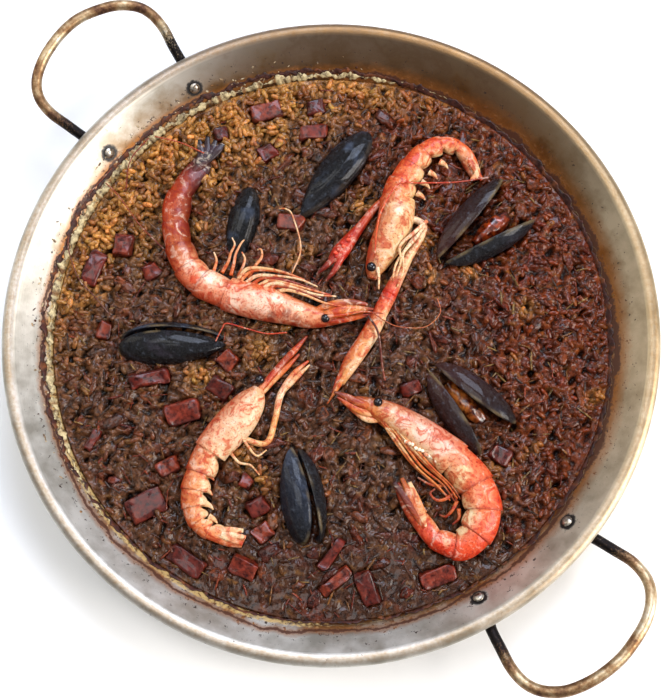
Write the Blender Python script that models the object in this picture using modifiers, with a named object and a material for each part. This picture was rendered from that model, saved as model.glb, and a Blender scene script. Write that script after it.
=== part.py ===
"""A seafood paella in its round two-handled steel pan.

Frame: origin at the centre of the pan's flat underside, +Z up, +X towards one handle.
Sizes below are in millimetres; make_solid and the modifiers turn them into metres.
The food is laid out in the diner's frame: the same origin and height, but with +Y pointing away
from a diner who sees the two handles on the diagonal. laid() turns it into the pan's frame.
"""

import math

import bmesh
import bpy
import numpy as np
from mathutils import Vector

MM = 0.001
DINER_TURN = math.radians(49.0)

# The pan: pressed carbon steel with a rolled rim
RIM_RADIUS = 210.0
PAN_HEIGHT = 46.0
SHEET = 1.5
WALL_SLOPE = math.radians(48.0)
FOOT_FILLET = 20.0
LIP_RADIUS = 5.0
LIP_TURN = math.radians(50.0)
PAN_SIDES = 40

# The handles and the rivets that hold them. Each handle is bent by hand, so each side has its own
# (reach from the pan's middle, distance from the handle's centreline); the far bar is at the tip.
ROD = 7.0
ROD_SIDES = 8
HANDLE_RISE = math.radians(20.0)
HANDLE_START_REACH = 203.0
HANDLE_START_HEIGHT = 35.8
HANDLE_TIP = 266.5
HANDLE_BENDS = (
    (
        ((208, 42.3), (219, 45.5), (231.5, 48.7), (243, 47.6), (252.5, 41.5), (260, 30), (264.7, 14)),
        ((208, 43.3), (219, 46.3), (231.5, 49.3), (243, 48.8), (252.5, 43.6), (260.5, 33), (265.3, 17)),
    ),
    (
        ((208, 43), (219, 46.5), (231.5, 50.2), (243, 49.7), (252.5, 43.2), (260, 30.5), (264.8, 15)),
        ((208, 41), (219, 42.6), (231.5, 44.9), (243, 43.8), (251.5, 39), (259.3, 28.5), (264.4, 14)),
    ),
)
TAB_THICKNESS = 3.0
# The tab's width at each distance up the wall from its rivet, and where it has become the rod:
# reach, distance from the centreline, width and thickness
TAB_OUTLINE = ((-9, 8), (-6, 13), (0, 15), (5.4, 13))
TAB_NECK = (200.5, 39.8, 8.5, 6)
RIVET_AZIMUTH = math.radians(10.9)
RIVET_HEIGHT = 33.5
RIVET_HOLE = 2.8
RIVET_SHANK = 2.5
RIVET_HEAD = 3.8
RIVET_CROWN = 3.2
RIVET_SHOULDER = 1.4
RIVET_HEAD_HEIGHT = 1.6
RIVET_BUTTON = 3.6
RIVET_BUTTON_CROWN = 2.4
RIVET_BUTTON_SHOULDER = 1.5
RIVET_BUTTON_HEIGHT = 2.0
RIVET_CLEARANCE = 0.2
HOLE_TOP, HOLE_BOTTOM = 8.0, -5.0
RIVET_SIDES = 8
GAP = 0.3

# The rice: level in the middle, lower at the far edge and higher at the near, brothy one
RICE_RADIUS = 182.0
RICE_CENTRE = 26.0
RICE_EDGE = 23.2
RICE_EDGE_FALL = 2.0
RICE_GAP = 0.4
RICE_RINGS = (0.97, 0.86, 0.68, 0.46, 0.22)
POCKET = 0.45

BODY_SIDES = 8
LIMB_SIDES = 6

# Shellfish lie on their sides. Stations run from tail to head: x, y, height of the middle,
# width across the back and belly, thickness upright.
PRAWN_1 = (
    (-87, 122, 26, 9, 4), (-92, 111, 26, 16, 6), (-100, 98, 28, 17, 12), (-104.5, 83, 29, 20, 15),
    (-104, 67, 29, 19, 16), (-100.5, 53.5, 29, 20, 17), (-94, 41, 29.5, 21, 18), (-85, 32, 30, 22, 19),
    (-73, 26, 30, 22, 20), (-60, 21.5, 31, 24, 21), (-43, 18, 31, 25, 21), (-27, 13.5, 31, 20, 18),
    (-12.5, 9.5, 31, 16, 14), (-2, 8.5, 32, 11, 10), (10, 9.5, 33, 7, 5), (21.5, 11.5, 34, 3, 3),
)
PRAWN_2 = (
    (45, -97, 27, 5, 4), (54, -110, 27, 12, 6), (62.5, -122, 27, 13, 8), (68, -129, 28, 14, 11),
    (75, -133, 29, 16, 13), (86, -134.5, 30, 20, 16), (95.5, -125, 31, 24, 18), (99, -111, 31, 25, 20),
    (93.5, -96, 31, 26, 21), (81, -82, 31, 26, 21), (67.5, -71.5, 31, 25, 20), (54, -62, 31, 22, 19),
    (39, -53.5, 31, 18, 15), (27, -48.5, 32, 12, 10), (18, -46, 33, 8, 6), (11, -45, 34, 3, 3),
)
LANGOUSTINE_1 = (
    (95.5, 108, 27, 6, 4), (91.5, 117, 27, 10, 6), (86, 126, 28, 11, 8), (78, 130.5, 28, 12, 10),
    (68, 129.5, 29, 14, 12), (58.5, 123, 29, 16, 14), (52, 113.5, 30, 19, 16), (46, 103, 30, 21, 17),
    (42.5, 93, 30, 23, 19), (42, 82.5, 31, 25, 20), (39.5, 69, 31, 25, 20), (33.5, 56, 31, 21, 18),
    (28.5, 44, 31, 14, 12), (26.5, 36, 31, 6, 6),
)
LANGOUSTINE_2 = (
    (-51, -137, 26, 6, 4), (-59, -134, 27, 11, 6), (-67.5, -131, 28, 12, 8), (-74, -128.5, 28, 13, 11),
    (-79.5, -123, 29, 15, 13), (-82.5, -114.5, 29, 17, 14), (-82.5, -105, 30, 19, 15),
    (-80, -95, 30, 20, 17), (-76.5, -85, 30, 21, 18), (-72, -77, 31, 23, 19), (-64, -67, 31, 26, 20),
    (-55.5, -56.5, 31, 25, 20), (-48.5, -46, 31, 19, 16), (-44.5, -38.5, 31, 8, 8),
)
# Limbs begin inside the body that carries them, in the same five numbers.
LEGS_OF_PRAWN_1 = (
    (-66, 28, 29, 8, 8), (-52, 33, 28, 10, 9), (-32, 30, 28, 9, 8), (-14, 23, 29, 7, 6),
    (0, 14, 31, 4, 4),
)
LEGS_OF_PRAWN_2 = (
    (84, -94, 28, 8, 8), (68, -88, 28, 12, 9), (52, -78, 28, 12, 8), (38, -65, 28, 9, 7),
    (27, -53, 30, 5, 5),
)
CLAWS_OF_LANGOUSTINE_1 = (
    (
        (40, 84, 30, 4, 4), (31.5, 89.5, 29, 4.5, 5), (18, 72, 28, 6, 7), (6.5, 56, 28, 11, 9),
        (-1, 45.5, 27.5, 10, 8), (-8, 40, 27.5, 5, 5),
    ),
    (
        (46, 80, 29, 5, 5), (60, 73, 29, 5, 5), (49, 49.5, 29, 7, 7), (38, 26, 28.5, 10, 9),
        (31.5, 12, 28, 11, 9), (25, -2, 28, 12, 10), (14, -20, 28, 11, 9), (7.5, -33, 28, 6, 6),
        (4, -39, 28, 2, 2),
    ),
)
CLAWS_OF_LANGOUSTINE_2 = (
    (
        (-49, -46, 31, 5, 5), (-38, -38, 29, 5, 6), (-29, -22, 28, 6, 6), (-23, -13.5, 28, 6, 6),
        (-16.5, -5, 28, 2.5, 3),
    ),
    (
        (-57, -70, 29, 4, 5), (-39, -73.5, 28, 4, 5), (-33.5, -58, 28, 4, 5), (-30.5, -42, 28, 5, 6),
        (-21, -27, 28, 5, 6), (-13.5, -19, 28, 2, 3),
    ),
)

# Mussels. A valve is given by its hinge point, its far end, its height across the hinge line, and
# the bearing and elevation in degrees of the way that its outside bulges.
SHELL_THICKNESS = 1.4
VALVE_BULGE = 10.5
SHELL_POINTS = 10
# The crown's place along a valve, and the rings of a valve as shares of the way from crown to rim
CROWN = 0.42
OUTER_RINGS = (0, 0.5, 0.82)
INNER_RINGS = (0.75, 0.45, 0)
SHUT_MUSSELS = (
    ((-21.5, 78.5, 27), (22, 138.5, 30), 34, 141, 57),
    ((-64, 47, 22), (-56.5, 100, 25), 26, 188, 35),
)
AJAR_MUSSELS = (
    (((-67.5, -9, 27), (-138, -14, 27), 31, -85, 48), ((-69, -4.5, 26), (-137, -8, 26), 29, 95, -34)),
    (((-22, -75.5, 29), (-13, -137, 27), 30, 188, 40), ((-18.5, -76.5, 29), (-3.5, -136, 27), 29, 12, -18)),
)
OPEN_MUSSELS = (
    (((70, 51, 29), (112, 107, 30), 29, 143, 20), ((74.5, 49.5, 29), (133, 80, 28), 29, -63, -6)),
    (((68, -20, 29), (120, -57, 29), 29, 55, 26), ((65.5, -24, 29), (98.5, -77, 27), 29, 212, 10)),
)
# The meat left in each open mussel: middle, length and bearing
MUSSEL_MEAT = ((105, 73, 27, 30, 42), (88, -44, 27, 34, -46))
MEAT_WIDTH = 13.0
MEAT_THICKNESS = 12.0
# The meat's outline: how fat it is at each share of its length from its middle
MEAT_REACH = (-0.5, -0.3, 0.0, 0.3, 0.5)
MEAT_FAT = (0.35, 0.85, 1.0, 0.9, 0.4)
MEAT_RINGS = 6

# Cuttlefish chunks: x, y, length, width, depth, bearing and tilt in degrees
CHUNK_SINK = 2.0
CHUNK_EDGE = 1.2
CHUNK_TOP = (0.9, 0.88, 1.0)
CUTTLEFISH = (
    (-140, 57, 16, 14, 12, 86, 6), (-159, 41, 26, 13, 11, 72, 8), (-48, 155, 24, 14, 11, 18, 5),
    (-14.5, 159, 13, 12, 11, 12, 8), (-15, 140, 21, 11, 11, 8, 4), (-46, 125, 13, 12, 10, 35, 9),
    (-28.5, 75.5, 19, 12, 11, -14, 8), (-78, 137.5, 12, 10, 10, 20, 4), (-120, 40, 12, 12, 10, 30, 6),
    (-117, -32.5, 29, 11, 11, 12, 7), (-66, -19.5, 13, 13, 12, -40, 9), (-70, -38, 18, 13, 12, -36, 7),
    (-94, -54, 26, 16, 12, 15, 10), (-151, -74, 15, 6, 9, 66, 5), (-101, -89.5, 15, 12, 11, 28, 7),
    (-114, -114.5, 27, 19, 9, 30, 4), (-51, -98, 10, 9, 10, 60, 9), (-43, -113.5, 15, 12, 11, 30, 8),
    (-39, -129.5, 13, 12, 10, 40, 6), (-86.5, -148.5, 27, 13, 7, -32, 2), (-50, -151.5, 19, 13, 11, -24, 8),
    (4.5, -142.5, 25, 7, 9, 52, 5), (7.5, -158.5, 26, 8.5, 10, 42, 6), (28, -162, 24, 12, 9, -66, 5),
    (72, -154, 25, 12, 9, 18, 4), (53, -35, 15, 10, 10, 22, 7), (-149, -1, 14, 10, 10, 75, 8),
    (111, -77, 15, 13, 10, -30, 5),
)


def scene_collection(name):
    made = bpy.data.collections.new(name)
    bpy.context.scene.collection.children.link(made)
    return made


def finish(name, colour, roughness, metallic=0.0):
    """A plain material of one sRGB hex colour."""
    material = bpy.data.materials.new(name)
    material.use_nodes = True
    channels = [int(colour[i : i + 2], 16) / 255 for i in (0, 2, 4)]
    linear = [c / 12.92 if c <= 0.04045 else ((c + 0.055) / 1.055) ** 2.4 for c in channels]
    shader = material.node_tree.nodes["Principled BSDF"]
    shader.inputs["Base Color"].default_value = (*linear, 1.0)
    shader.inputs["Roughness"].default_value = roughness
    shader.inputs["Metallic"].default_value = metallic
    material.diffuse_color = (*linear, 1.0)
    return material


def laid(points):
    """Points of the diner's frame, turned into the pan's."""
    points = np.asarray(points, float)
    c, s = math.cos(DINER_TURN), math.sin(DINER_TURN)
    return points @ np.array([[c, -s, 0], [s, c, 0], [0, 0, 1]]).T


def bearing(degrees, elevation=0.0):
    """The unit vector of a bearing, counted from +X towards +Y, and of an elevation above level."""
    a, e = math.radians(degrees), math.radians(elevation)
    return np.array([math.cos(a) * math.cos(e), math.sin(a) * math.cos(e), math.sin(e)])


def through(stations, count):
    """The given number of rows on the Catmull-Rom curve through the stations, evenly spaced along them."""
    rows = np.array(stations, float)
    rows = np.vstack([2 * rows[0] - rows[1], rows, 2 * rows[-1] - rows[-2]])
    at = np.linspace(0, len(stations) - 1, count)
    first = np.minimum(at.astype(int), len(stations) - 2)
    t = (at - first)[:, None]
    a, b, c, d = (rows[first + k] for k in range(4))
    return 0.5 * (2 * b + (c - a) * t + (2 * a - 5 * b + 4 * c - d) * t**2 + (3 * b - a - 3 * c + d) * t**3)


def add_object(name, mesh, home, material=None):
    made = bpy.data.objects.new(name, mesh)
    home.objects.link(made)
    if material:
        mesh.materials.append(material)
    else:
        made.hide_render = True
        made.display_type = "WIRE"
    return made


def make_solid(name, rings, home, material=None):
    """A closed loft. Each ring is an array of points in mm; a ring of one point is a tip."""
    shape = bmesh.new()
    loops = [[shape.verts.new(Vector(p) * MM) for p in ring] for ring in rings]
    for one, two in zip(loops, loops[1:]):
        for k in range(max(len(one), len(two))):
            n = k + 1
            corners = [one[k % len(one)], one[n % len(one)], two[n % len(two)], two[k % len(two)]]
            shape.faces.new(list(dict.fromkeys(corners)))
    for end in (loops[0], loops[-1]):
        if len(end) > 2:
            shape.faces.new(end)
    bmesh.ops.recalc_face_normals(shape, faces=shape.faces)
    mesh = bpy.data.meshes.new(name)
    shape.to_mesh(mesh)
    shape.free()
    mesh.shade_smooth()
    mesh.set_sharp_from_angle(angle=math.radians(40))
    return add_object(name, mesh, home, material)


def turned(name, profile, sides, home, material=None):
    """A profile of (radius, height) in mm, turned about Z; it runs down its outer side."""
    mesh = bpy.data.meshes.new(name)
    points = [(r * MM, 0.0, z * MM) for r, z in profile]
    mesh.from_pydata(points, [(k, k + 1) for k in range(len(points) - 1)], [])
    made = add_object(name, mesh, home, material)
    screw = made.modifiers.new("turn", "SCREW")
    screw.axis = "Z"
    screw.steps = screw.render_steps = sides
    screw.use_merge_vertices = True
    screw.merge_threshold = 0.00001
    screw.use_smooth_shade = True
    return made


def boolean(target, other, operation):
    """Cuts or joins with one object, or with every object of a collection."""
    cut = target.modifiers.new(operation.lower(), "BOOLEAN")
    cut.operation = operation
    cut.solver = "EXACT"
    if isinstance(other, bpy.types.Collection):
        cut.operand_type = "COLLECTION"
        cut.collection = other
    else:
        cut.object = other


# ---- the pan and its handles ----

LIP_MIDDLE = np.array(
    [RIM_RADIUS - (LIP_RADIUS + SHEET / 2) * math.sin(LIP_TURN), PAN_HEIGHT - LIP_RADIUS - SHEET / 2]
)
UP_WALL = np.array([math.cos(WALL_SLOPE), math.sin(WALL_SLOPE)])
OFF_WALL = np.array([math.sin(WALL_SLOPE), -math.cos(WALL_SLOPE)])
WALL_TOP = LIP_MIDDLE - LIP_RADIUS * OFF_WALL
FILLET_MIDDLE_HEIGHT = FOOT_FILLET + SHEET / 2
WALL_FOOT_HEIGHT = FILLET_MIDDLE_HEIGHT - FOOT_FILLET * math.cos(WALL_SLOPE)
WALL_FOOT = WALL_TOP - UP_WALL * (WALL_TOP[1] - WALL_FOOT_HEIGHT) / UP_WALL[1]
FOOT_RADIUS = WALL_FOOT[0] - FOOT_FILLET * math.sin(WALL_SLOPE)


def foot_section(inward):
    """(radius, height) points of the sheet's bottom and fillet, offset inwards from its middle."""
    slopes = np.linspace(0, WALL_SLOPE, 4)
    radius = FOOT_FILLET - inward
    arc = [(FOOT_RADIUS + radius * math.sin(s), FILLET_MIDDLE_HEIGHT - radius * math.cos(s)) for s in slopes]
    return [(0.0, SHEET / 2 + inward)] + arc


def lip_section(inward):
    """(radius, height) points of the rolled lip, offset inwards from the sheet's middle."""
    radius = LIP_RADIUS + inward
    slopes = np.linspace(WALL_SLOPE, -LIP_TURN, 5)
    return [(LIP_MIDDLE[0] - radius * math.sin(s), LIP_MIDDLE[1] + radius * math.cos(s)) for s in slopes]


def wall_radius(height, inward):
    """Radius at a height of the surface that lies inwards of the middle of the sloping wall."""
    foot = WALL_FOOT - inward * OFF_WALL
    return foot[0] + (height - foot[1]) / math.tan(WALL_SLOPE)


def on_wall(azimuth, climb, out):
    """The point that is climb up the wall from the rivets' height and out from the sheet's middle."""
    level = np.array([wall_radius(RIVET_HEIGHT, 0.0), RIVET_HEIGHT]) + climb * UP_WALL + out * OFF_WALL
    return np.array([level[0] * math.cos(azimuth), level[0] * math.sin(azimuth), level[1]])


def make_pan(home, holes):
    inside = foot_section(SHEET / 2) + lip_section(SHEET / 2)
    outside = foot_section(-SHEET / 2) + lip_section(-SHEET / 2)
    pan = turned("pan", inside + outside[::-1], PAN_SIDES, home, finish("steel sheet", "b9b4ab", 0.35, 1.0))
    boolean(pan, holes, "DIFFERENCE")


def handle_side(bends, side):
    """Stations of half a handle, from its tab to just short of its tip.

    Each is a place, a width, a thickness and the normal of the flat.
    """
    azimuth = side * RIVET_AZIMUTH
    wall_normal = (OFF_WALL[0] * math.cos(azimuth), OFF_WALL[0] * math.sin(azimuth), OFF_WALL[1])
    loop_normal = (math.sin(HANDLE_RISE), 0.0, -math.cos(HANDLE_RISE))
    tab_middle = SHEET / 2 + GAP + TAB_THICKNESS / 2
    rows = [
        (*on_wall(azimuth, climb, tab_middle), width, TAB_THICKNESS, *wall_normal)
        for climb, width in TAB_OUTLINE
    ]
    rod = [TAB_NECK] + [(x, y, ROD, ROD) for x, y in bends]
    for x, y, width, thickness in rod:
        height = HANDLE_START_HEIGHT + (x - HANDLE_START_REACH) * math.tan(HANDLE_RISE)
        rows.append((x, side * y, height, width, thickness, *loop_normal))
    return rows


def handle_rings(bends, sides):
    """Rings of a round rod whose ends are flattened into tabs that lie along the wall."""
    height = HANDLE_START_HEIGHT + (HANDLE_TIP - HANDLE_START_REACH) * math.tan(HANDLE_RISE)
    tip = (HANDLE_TIP, 0, height, ROD, ROD, math.sin(HANDLE_RISE), 0.0, -math.cos(HANDLE_RISE))
    stations = handle_side(bends[0], 1) + [tip] + handle_side(bends[1], -1)[::-1]
    rows = through(stations, len(stations))
    centre, normal = rows[:, :3], rows[:, 5:]
    run = np.gradient(centre, axis=0)
    across = np.cross(run, normal)
    across /= np.linalg.norm(across, axis=1)[:, None]
    thin = np.cross(across, run)
    thin /= np.linalg.norm(thin, axis=1)[:, None]
    angles = 2 * math.pi * (np.arange(sides) + 0.5) / sides
    level = rows[:, 3, None, None] / 2 * np.cos(angles)[:, None] * across[:, None]
    return centre[:, None] + level + rows[:, 4, None, None] / 2 * np.sin(angles)[:, None] * thin[:, None]


def place_on_wall(thing, azimuth):
    """Stands a thing's own Z along the way out through the wall, at a rivet."""
    out = Vector((OFF_WALL[0] * math.cos(azimuth), OFF_WALL[0] * math.sin(azimuth), OFF_WALL[1]))
    thing.rotation_euler = out.to_track_quat("Z", "Y").to_euler()
    thing.location = Vector(on_wall(azimuth, 0, 0)) * MM


def make_handles(home, holes):
    azimuths = [side + turn for turn in (0, math.pi) for side in (RIVET_AZIMUTH, -RIVET_AZIMUTH)]
    outer_face = SHEET / 2 + TAB_THICKNESS + 2 * GAP
    inner_face = -SHEET / 2 - GAP - RIVET_CLEARANCE
    rivet = (
        (0, outer_face + RIVET_HEAD_HEIGHT), (RIVET_CROWN, outer_face + RIVET_SHOULDER),
        (RIVET_HEAD, outer_face), (RIVET_SHANK, outer_face), (RIVET_SHANK, inner_face),
        (RIVET_BUTTON, inner_face), (RIVET_BUTTON_CROWN, inner_face - RIVET_BUTTON_SHOULDER),
        (0, inner_face - RIVET_BUTTON_HEIGHT),
    )
    hole_section = ((0, HOLE_TOP), (RIVET_HOLE, HOLE_TOP), (RIVET_HOLE, HOLE_BOTTOM), (0, HOLE_BOTTOM))
    for k, azimuth in enumerate(azimuths):
        steel = finish(f"rivet steel {k + 1}", "c6bfb2", 0.3, 1.0)
        made = turned(f"rivet_{k + 1}", rivet, RIVET_SIDES, home, steel)
        place_on_wall(made, azimuth)
        hole = turned(f"rivet_hole_{k + 1}", hole_section, RIVET_SIDES, holes)
        place_on_wall(hole, azimuth)
    for k, bends in enumerate(HANDLE_BENDS):
        burnt = finish(f"burnt steel {k + 1}", "4a3426", 0.45, 1.0)
        handle = make_solid(f"handle_{k + 1}", handle_rings(bends, ROD_SIDES), home, burnt)
        handle.rotation_euler = (0, 0, math.pi * k)
        boolean(handle, holes, "DIFFERENCE")


# ---- the food ----


def rice_height(x, y):
    """Height of the rice at a place in the diner's frame: near level, with low humps and hollows."""
    edge = RICE_EDGE - RICE_EDGE_FALL * y / RICE_RADIUS
    crown = (RICE_CENTRE - edge) * (1 - min(1.0, math.hypot(x, y) / RICE_RADIUS) ** 4)
    humps = 0.7 * math.sin(x / 17 + 1) * math.cos(y / 21) + 0.4 * math.sin((x + y) / 11)
    return edge + crown + humps


def make_rice(home, pockets):
    """The rice fills the pan's curve, a hair's breadth off it, and every topping has its pocket."""
    inward = SHEET / 2 + RICE_GAP
    angles = 2 * math.pi * np.arange(PAN_SIDES) / PAN_SIDES

    def ring(radii, heights):
        return np.stack([radii * np.cos(angles), radii * np.sin(angles), heights + 0 * angles], 1)

    rings = [ring(r, z) if r else np.array([[0.0, 0.0, z]]) for r, z in foot_section(inward)]
    edge_height = RICE_EDGE - RICE_EDGE_FALL * np.sin(angles - DINER_TURN)
    edge_radius = wall_radius(edge_height, inward)
    rings.append(ring(edge_radius, edge_height))
    for share in RICE_RINGS:
        reach = share * edge_radius
        seen = angles - DINER_TURN
        heights = [rice_height(r * math.cos(a), r * math.sin(a)) for r, a in zip(reach, seen)]
        rings.append(ring(reach, np.array(heights)))
    rings.append(np.array([[0.0, 0.0, rice_height(0.0, 0.0)]]))
    rice = make_solid("rice", rings, home, finish("cooked rice", "6b3f1c", 0.5))
    boolean(rice, pockets, "DIFFERENCE")


def grow_ends(centre, grow):
    """Moves the two ends of a path outwards by grow."""
    centre = centre.copy()
    for end, inner in ((0, 1), (-1, -2)):
        way = centre[end] - centre[inner]
        centre[end] += grow * way / np.linalg.norm(way)
    return centre


def limb_rings(stations, count, sides, grow=0.0):
    """Elliptic rings along the stations: widths level, thicknesses upright, all grown by grow."""
    rows = through(stations, count)
    centre = laid(grow_ends(rows[:, :3], grow))
    run = np.gradient(centre[:, :2], axis=0)
    run /= np.linalg.norm(run, axis=1)[:, None]
    across = np.stack([-run[:, 1], run[:, 0], np.zeros(count)], 1)
    angles = 2 * math.pi * (np.arange(sides) + 0.5) / sides
    level = (rows[:, 3, None, None] / 2 + grow) * np.cos(angles)[:, None] * across[:, None]
    upright = (rows[:, 4, None, None] / 2 + grow) * np.sin(angles)[:, None] * np.array([0, 0, 1.0])
    return centre[:, None] + level + upright


def make_shellfish(name, body, limbs, colour, home, cutters, pockets):
    """A whole prawn or langoustine: its body and limbs joined, and their imprint in the rice."""
    shell = finish(f"{name} shell", colour, 0.45)
    whole = make_solid(name, limb_rings(body, len(body), BODY_SIDES), home, shell)
    make_solid(f"{name}_imprint", limb_rings(body, len(body), BODY_SIDES, POCKET), pockets)
    for k, limb in enumerate(limbs):
        arm = make_solid(f"{name}_limb_{k}", limb_rings(limb, len(limb) + 1, LIMB_SIDES), cutters)
        boolean(whole, arm, "UNION")
        imprint = limb_rings(limb, len(limb) + 1, LIMB_SIDES, POCKET)
        make_solid(f"{name}_limb_imprint_{k}", imprint, pockets)


def bulge(share):
    """How far a valve's outside stands over its rim's plane, at a share of the way from crown to rim."""
    return VALVE_BULGE * (1 - share**2.2) ** 0.6


def shell_ring(shell, share, lift, grow=0.0):
    """One ring of a valve, at a share of the way from crown to rim and lifted over the rim's plane.

    The outline is x = L/2 (1 - cos t), y = H/2 sin t sin(t/2)^0.6, pointed at the hinge and round
    at the far end.
    """
    hinge, end, height, degrees, elevation = shell
    hinge, end = np.array(hinge, float), np.array(end, float)
    length = np.linalg.norm(end - hinge)
    along = (end - hinge) / length
    out = bearing(degrees, elevation)
    out = out - along * (out @ along)
    out /= np.linalg.norm(out)
    crown = CROWN * length
    t = 2 * math.pi * (np.arange(SHELL_POINTS) + 0.5) / SHELL_POINTS
    x = (length / 2 + grow) * (1 - np.cos(t)) - grow
    y = (height / 2 + grow) * np.sin(t) * np.sin(t / 2) ** 0.6
    if not share:
        x, y = np.array([crown]), np.array([0.0])
    x, y = crown + (share or 1) * (x - crown), (share or 1) * y
    flat = x[:, None] * along + y[:, None] * np.cross(out, along)
    return laid(hinge + flat + lift * out)


def make_valve(name, shell, home, pockets):
    """An open half shell, from the crown over the rim to the inside, and its imprint in the rice."""
    rings = [shell_ring(shell, share, bulge(share)) for share in (*OUTER_RINGS, 1)]
    rings.append(shell_ring(shell, 1 - 2 * SHELL_THICKNESS / shell[2], 0.0))
    rings += [shell_ring(shell, share, bulge(share) - SHELL_THICKNESS) for share in INNER_RINGS]
    make_solid(name, rings, home, finish(f"{name} shell", "22232a", 0.35))
    imprint = [shell_ring(shell, share, bulge(share) + POCKET, POCKET) for share in (*OUTER_RINGS, 1)]
    imprint += [shell_ring(shell, share, -POCKET, POCKET) for share in (1, 0)]
    make_solid(f"{name}_imprint", imprint, pockets)


def make_shut_mussel(name, shell, home, pockets):
    """Both valves closed on each other, as one solid."""
    for title, grow, where in ((name, 0.0, home), (f"{name}_imprint", POCKET, pockets)):
        sides = [
            [shell_ring(shell, share, way * (bulge(share) + grow), grow) for share in OUTER_RINGS]
            for way in (1, -1)
        ]
        rings = sides[0] + [shell_ring(shell, 1, 0.0, grow)] + sides[1][::-1]
        make_solid(title, rings, where, None if grow else finish(f"{name} shell", "2b2e37", 0.4))


def make_mussels(home, pockets):
    for k, shell in enumerate(SHUT_MUSSELS):
        make_shut_mussel(f"mussel_shut_{k + 1}", shell, home, pockets)
    for kind, pairs in (("ajar", AJAR_MUSSELS), ("open", OPEN_MUSSELS)):
        for k, pair in enumerate(pairs):
            for half, shell in enumerate(pair):
                make_valve(f"mussel_{kind}_{k + 1}_valve_{half + 1}", shell, home, pockets)
    for k, (x, y, z, length, degrees) in enumerate(MUSSEL_MEAT):
        reach = np.array(MEAT_REACH) * length
        stations = [
            (*(np.array([x, y, z]) + r * bearing(degrees)), f * MEAT_WIDTH, f * MEAT_THICKNESS)
            for r, f in zip(reach, MEAT_FAT)
        ]
        name = f"mussel_open_{k + 1}_meat"
        make_solid(name, limb_rings(stations, MEAT_RINGS, BODY_SIDES), home, finish(name, "8a3a17", 0.35))
        make_solid(f"{name}_imprint", limb_rings(stations, MEAT_RINGS, BODY_SIDES, POCKET), pockets)


def make_chunk(name, chunk, home, pockets):
    """A block of cuttlefish, narrower on top, with its edges cooked round."""
    x, y, length, width, depth, degrees, tilt = chunk
    for title, grow, where in ((name, 0.0, home), (f"{name}_imprint", POCKET, pockets)):
        block = bmesh.new()
        bmesh.ops.create_cube(block, size=MM)
        bmesh.ops.scale(block, vec=[side + 2 * grow for side in (length, width, depth)], verts=block.verts)
        upper = [v for v in block.verts if v.co.z > 0]
        bmesh.ops.scale(block, vec=CHUNK_TOP, verts=upper)
        mesh = bpy.data.meshes.new(title)
        block.to_mesh(mesh)
        block.free()
        made = add_object(title, mesh, where, None if grow else finish(f"{name} flesh", "5e2418", 0.45))
        made.location = Vector(laid([(x, y, rice_height(x, y) - CHUNK_SINK)])[0]) * MM
        made.rotation_euler = (math.radians(tilt), 0, math.radians(degrees) + DINER_TURN)
        if not grow:
            edges = made.modifiers.new("cooked edges", "BEVEL")
            edges.width = CHUNK_EDGE * MM
            edges.segments = 1


def main():
    for thing in list(bpy.data.objects):
        bpy.data.objects.remove(thing)
    home = scene_collection("paella")
    cutters = scene_collection("cutters")
    holes = scene_collection("rivet holes")
    pockets = scene_collection("pockets in the rice")
    make_pan(home, holes)
    make_handles(home, holes)
    shellfish = (
        ("prawn_1", PRAWN_1, [LEGS_OF_PRAWN_1], "d9532f"),
        ("prawn_2", PRAWN_2, [LEGS_OF_PRAWN_2], "e0623c"),
        ("langoustine_1", LANGOUSTINE_1, CLAWS_OF_LANGOUSTINE_1, "dd7a4c"),
        ("langoustine_2", LANGOUSTINE_2, CLAWS_OF_LANGOUSTINE_2, "e39565"),
    )
    for name, body, limbs, colour in shellfish:
        make_shellfish(name, body, limbs, colour, home, cutters, pockets)
    make_mussels(home, pockets)
    for k, chunk in enumerate(CUTTLEFISH):
        make_chunk(f"cuttlefish_{k + 1:02d}", chunk, home, pockets)
    make_rice(home, pockets)


main()
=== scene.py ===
"""A seafood paella in its two-handled carbon-steel pan, just off the flame.

Lengths are in millimetres until a mesh is made. The food is laid out in the diner's frame: the
pan's own origin and height, with +Y pointing away from a diner who sees the handles on the
diagonal. The pan's frame has +X towards one handle.
"""

import math

import bpy
import numpy as np
from mathutils import Matrix, Vector
from mathutils.bvhtree import BVHTree


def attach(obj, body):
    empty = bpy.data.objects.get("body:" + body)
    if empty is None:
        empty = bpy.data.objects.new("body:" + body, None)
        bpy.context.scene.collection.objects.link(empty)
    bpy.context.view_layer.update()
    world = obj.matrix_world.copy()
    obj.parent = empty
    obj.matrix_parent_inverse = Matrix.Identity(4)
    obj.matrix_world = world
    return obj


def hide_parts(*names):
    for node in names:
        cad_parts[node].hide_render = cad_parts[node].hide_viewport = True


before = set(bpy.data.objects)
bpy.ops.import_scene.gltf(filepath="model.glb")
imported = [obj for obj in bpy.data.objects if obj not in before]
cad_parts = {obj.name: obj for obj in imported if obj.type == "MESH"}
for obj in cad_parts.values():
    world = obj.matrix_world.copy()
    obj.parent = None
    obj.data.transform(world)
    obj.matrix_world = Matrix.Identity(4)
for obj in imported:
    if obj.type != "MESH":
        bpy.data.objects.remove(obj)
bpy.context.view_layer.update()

# ---- floor, daylight and camera ----
# The pan stands on a plain white table by a window. Daylight comes in low from the right, a cooler
# sky from the far side, and the side nearest the left hand is dim.

MM = 0.001
DINER_TURN = math.radians(49.0)


def laid(points):
    """Points of the diner's frame turned by 49 degrees about Z, which is the pan's frame."""
    c, s = math.cos(DINER_TURN), math.sin(DINER_TURN)
    return np.asarray(points, float) @ np.array([[c, -s, 0], [s, c, 0], [0, 0, 1]]).T


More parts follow.
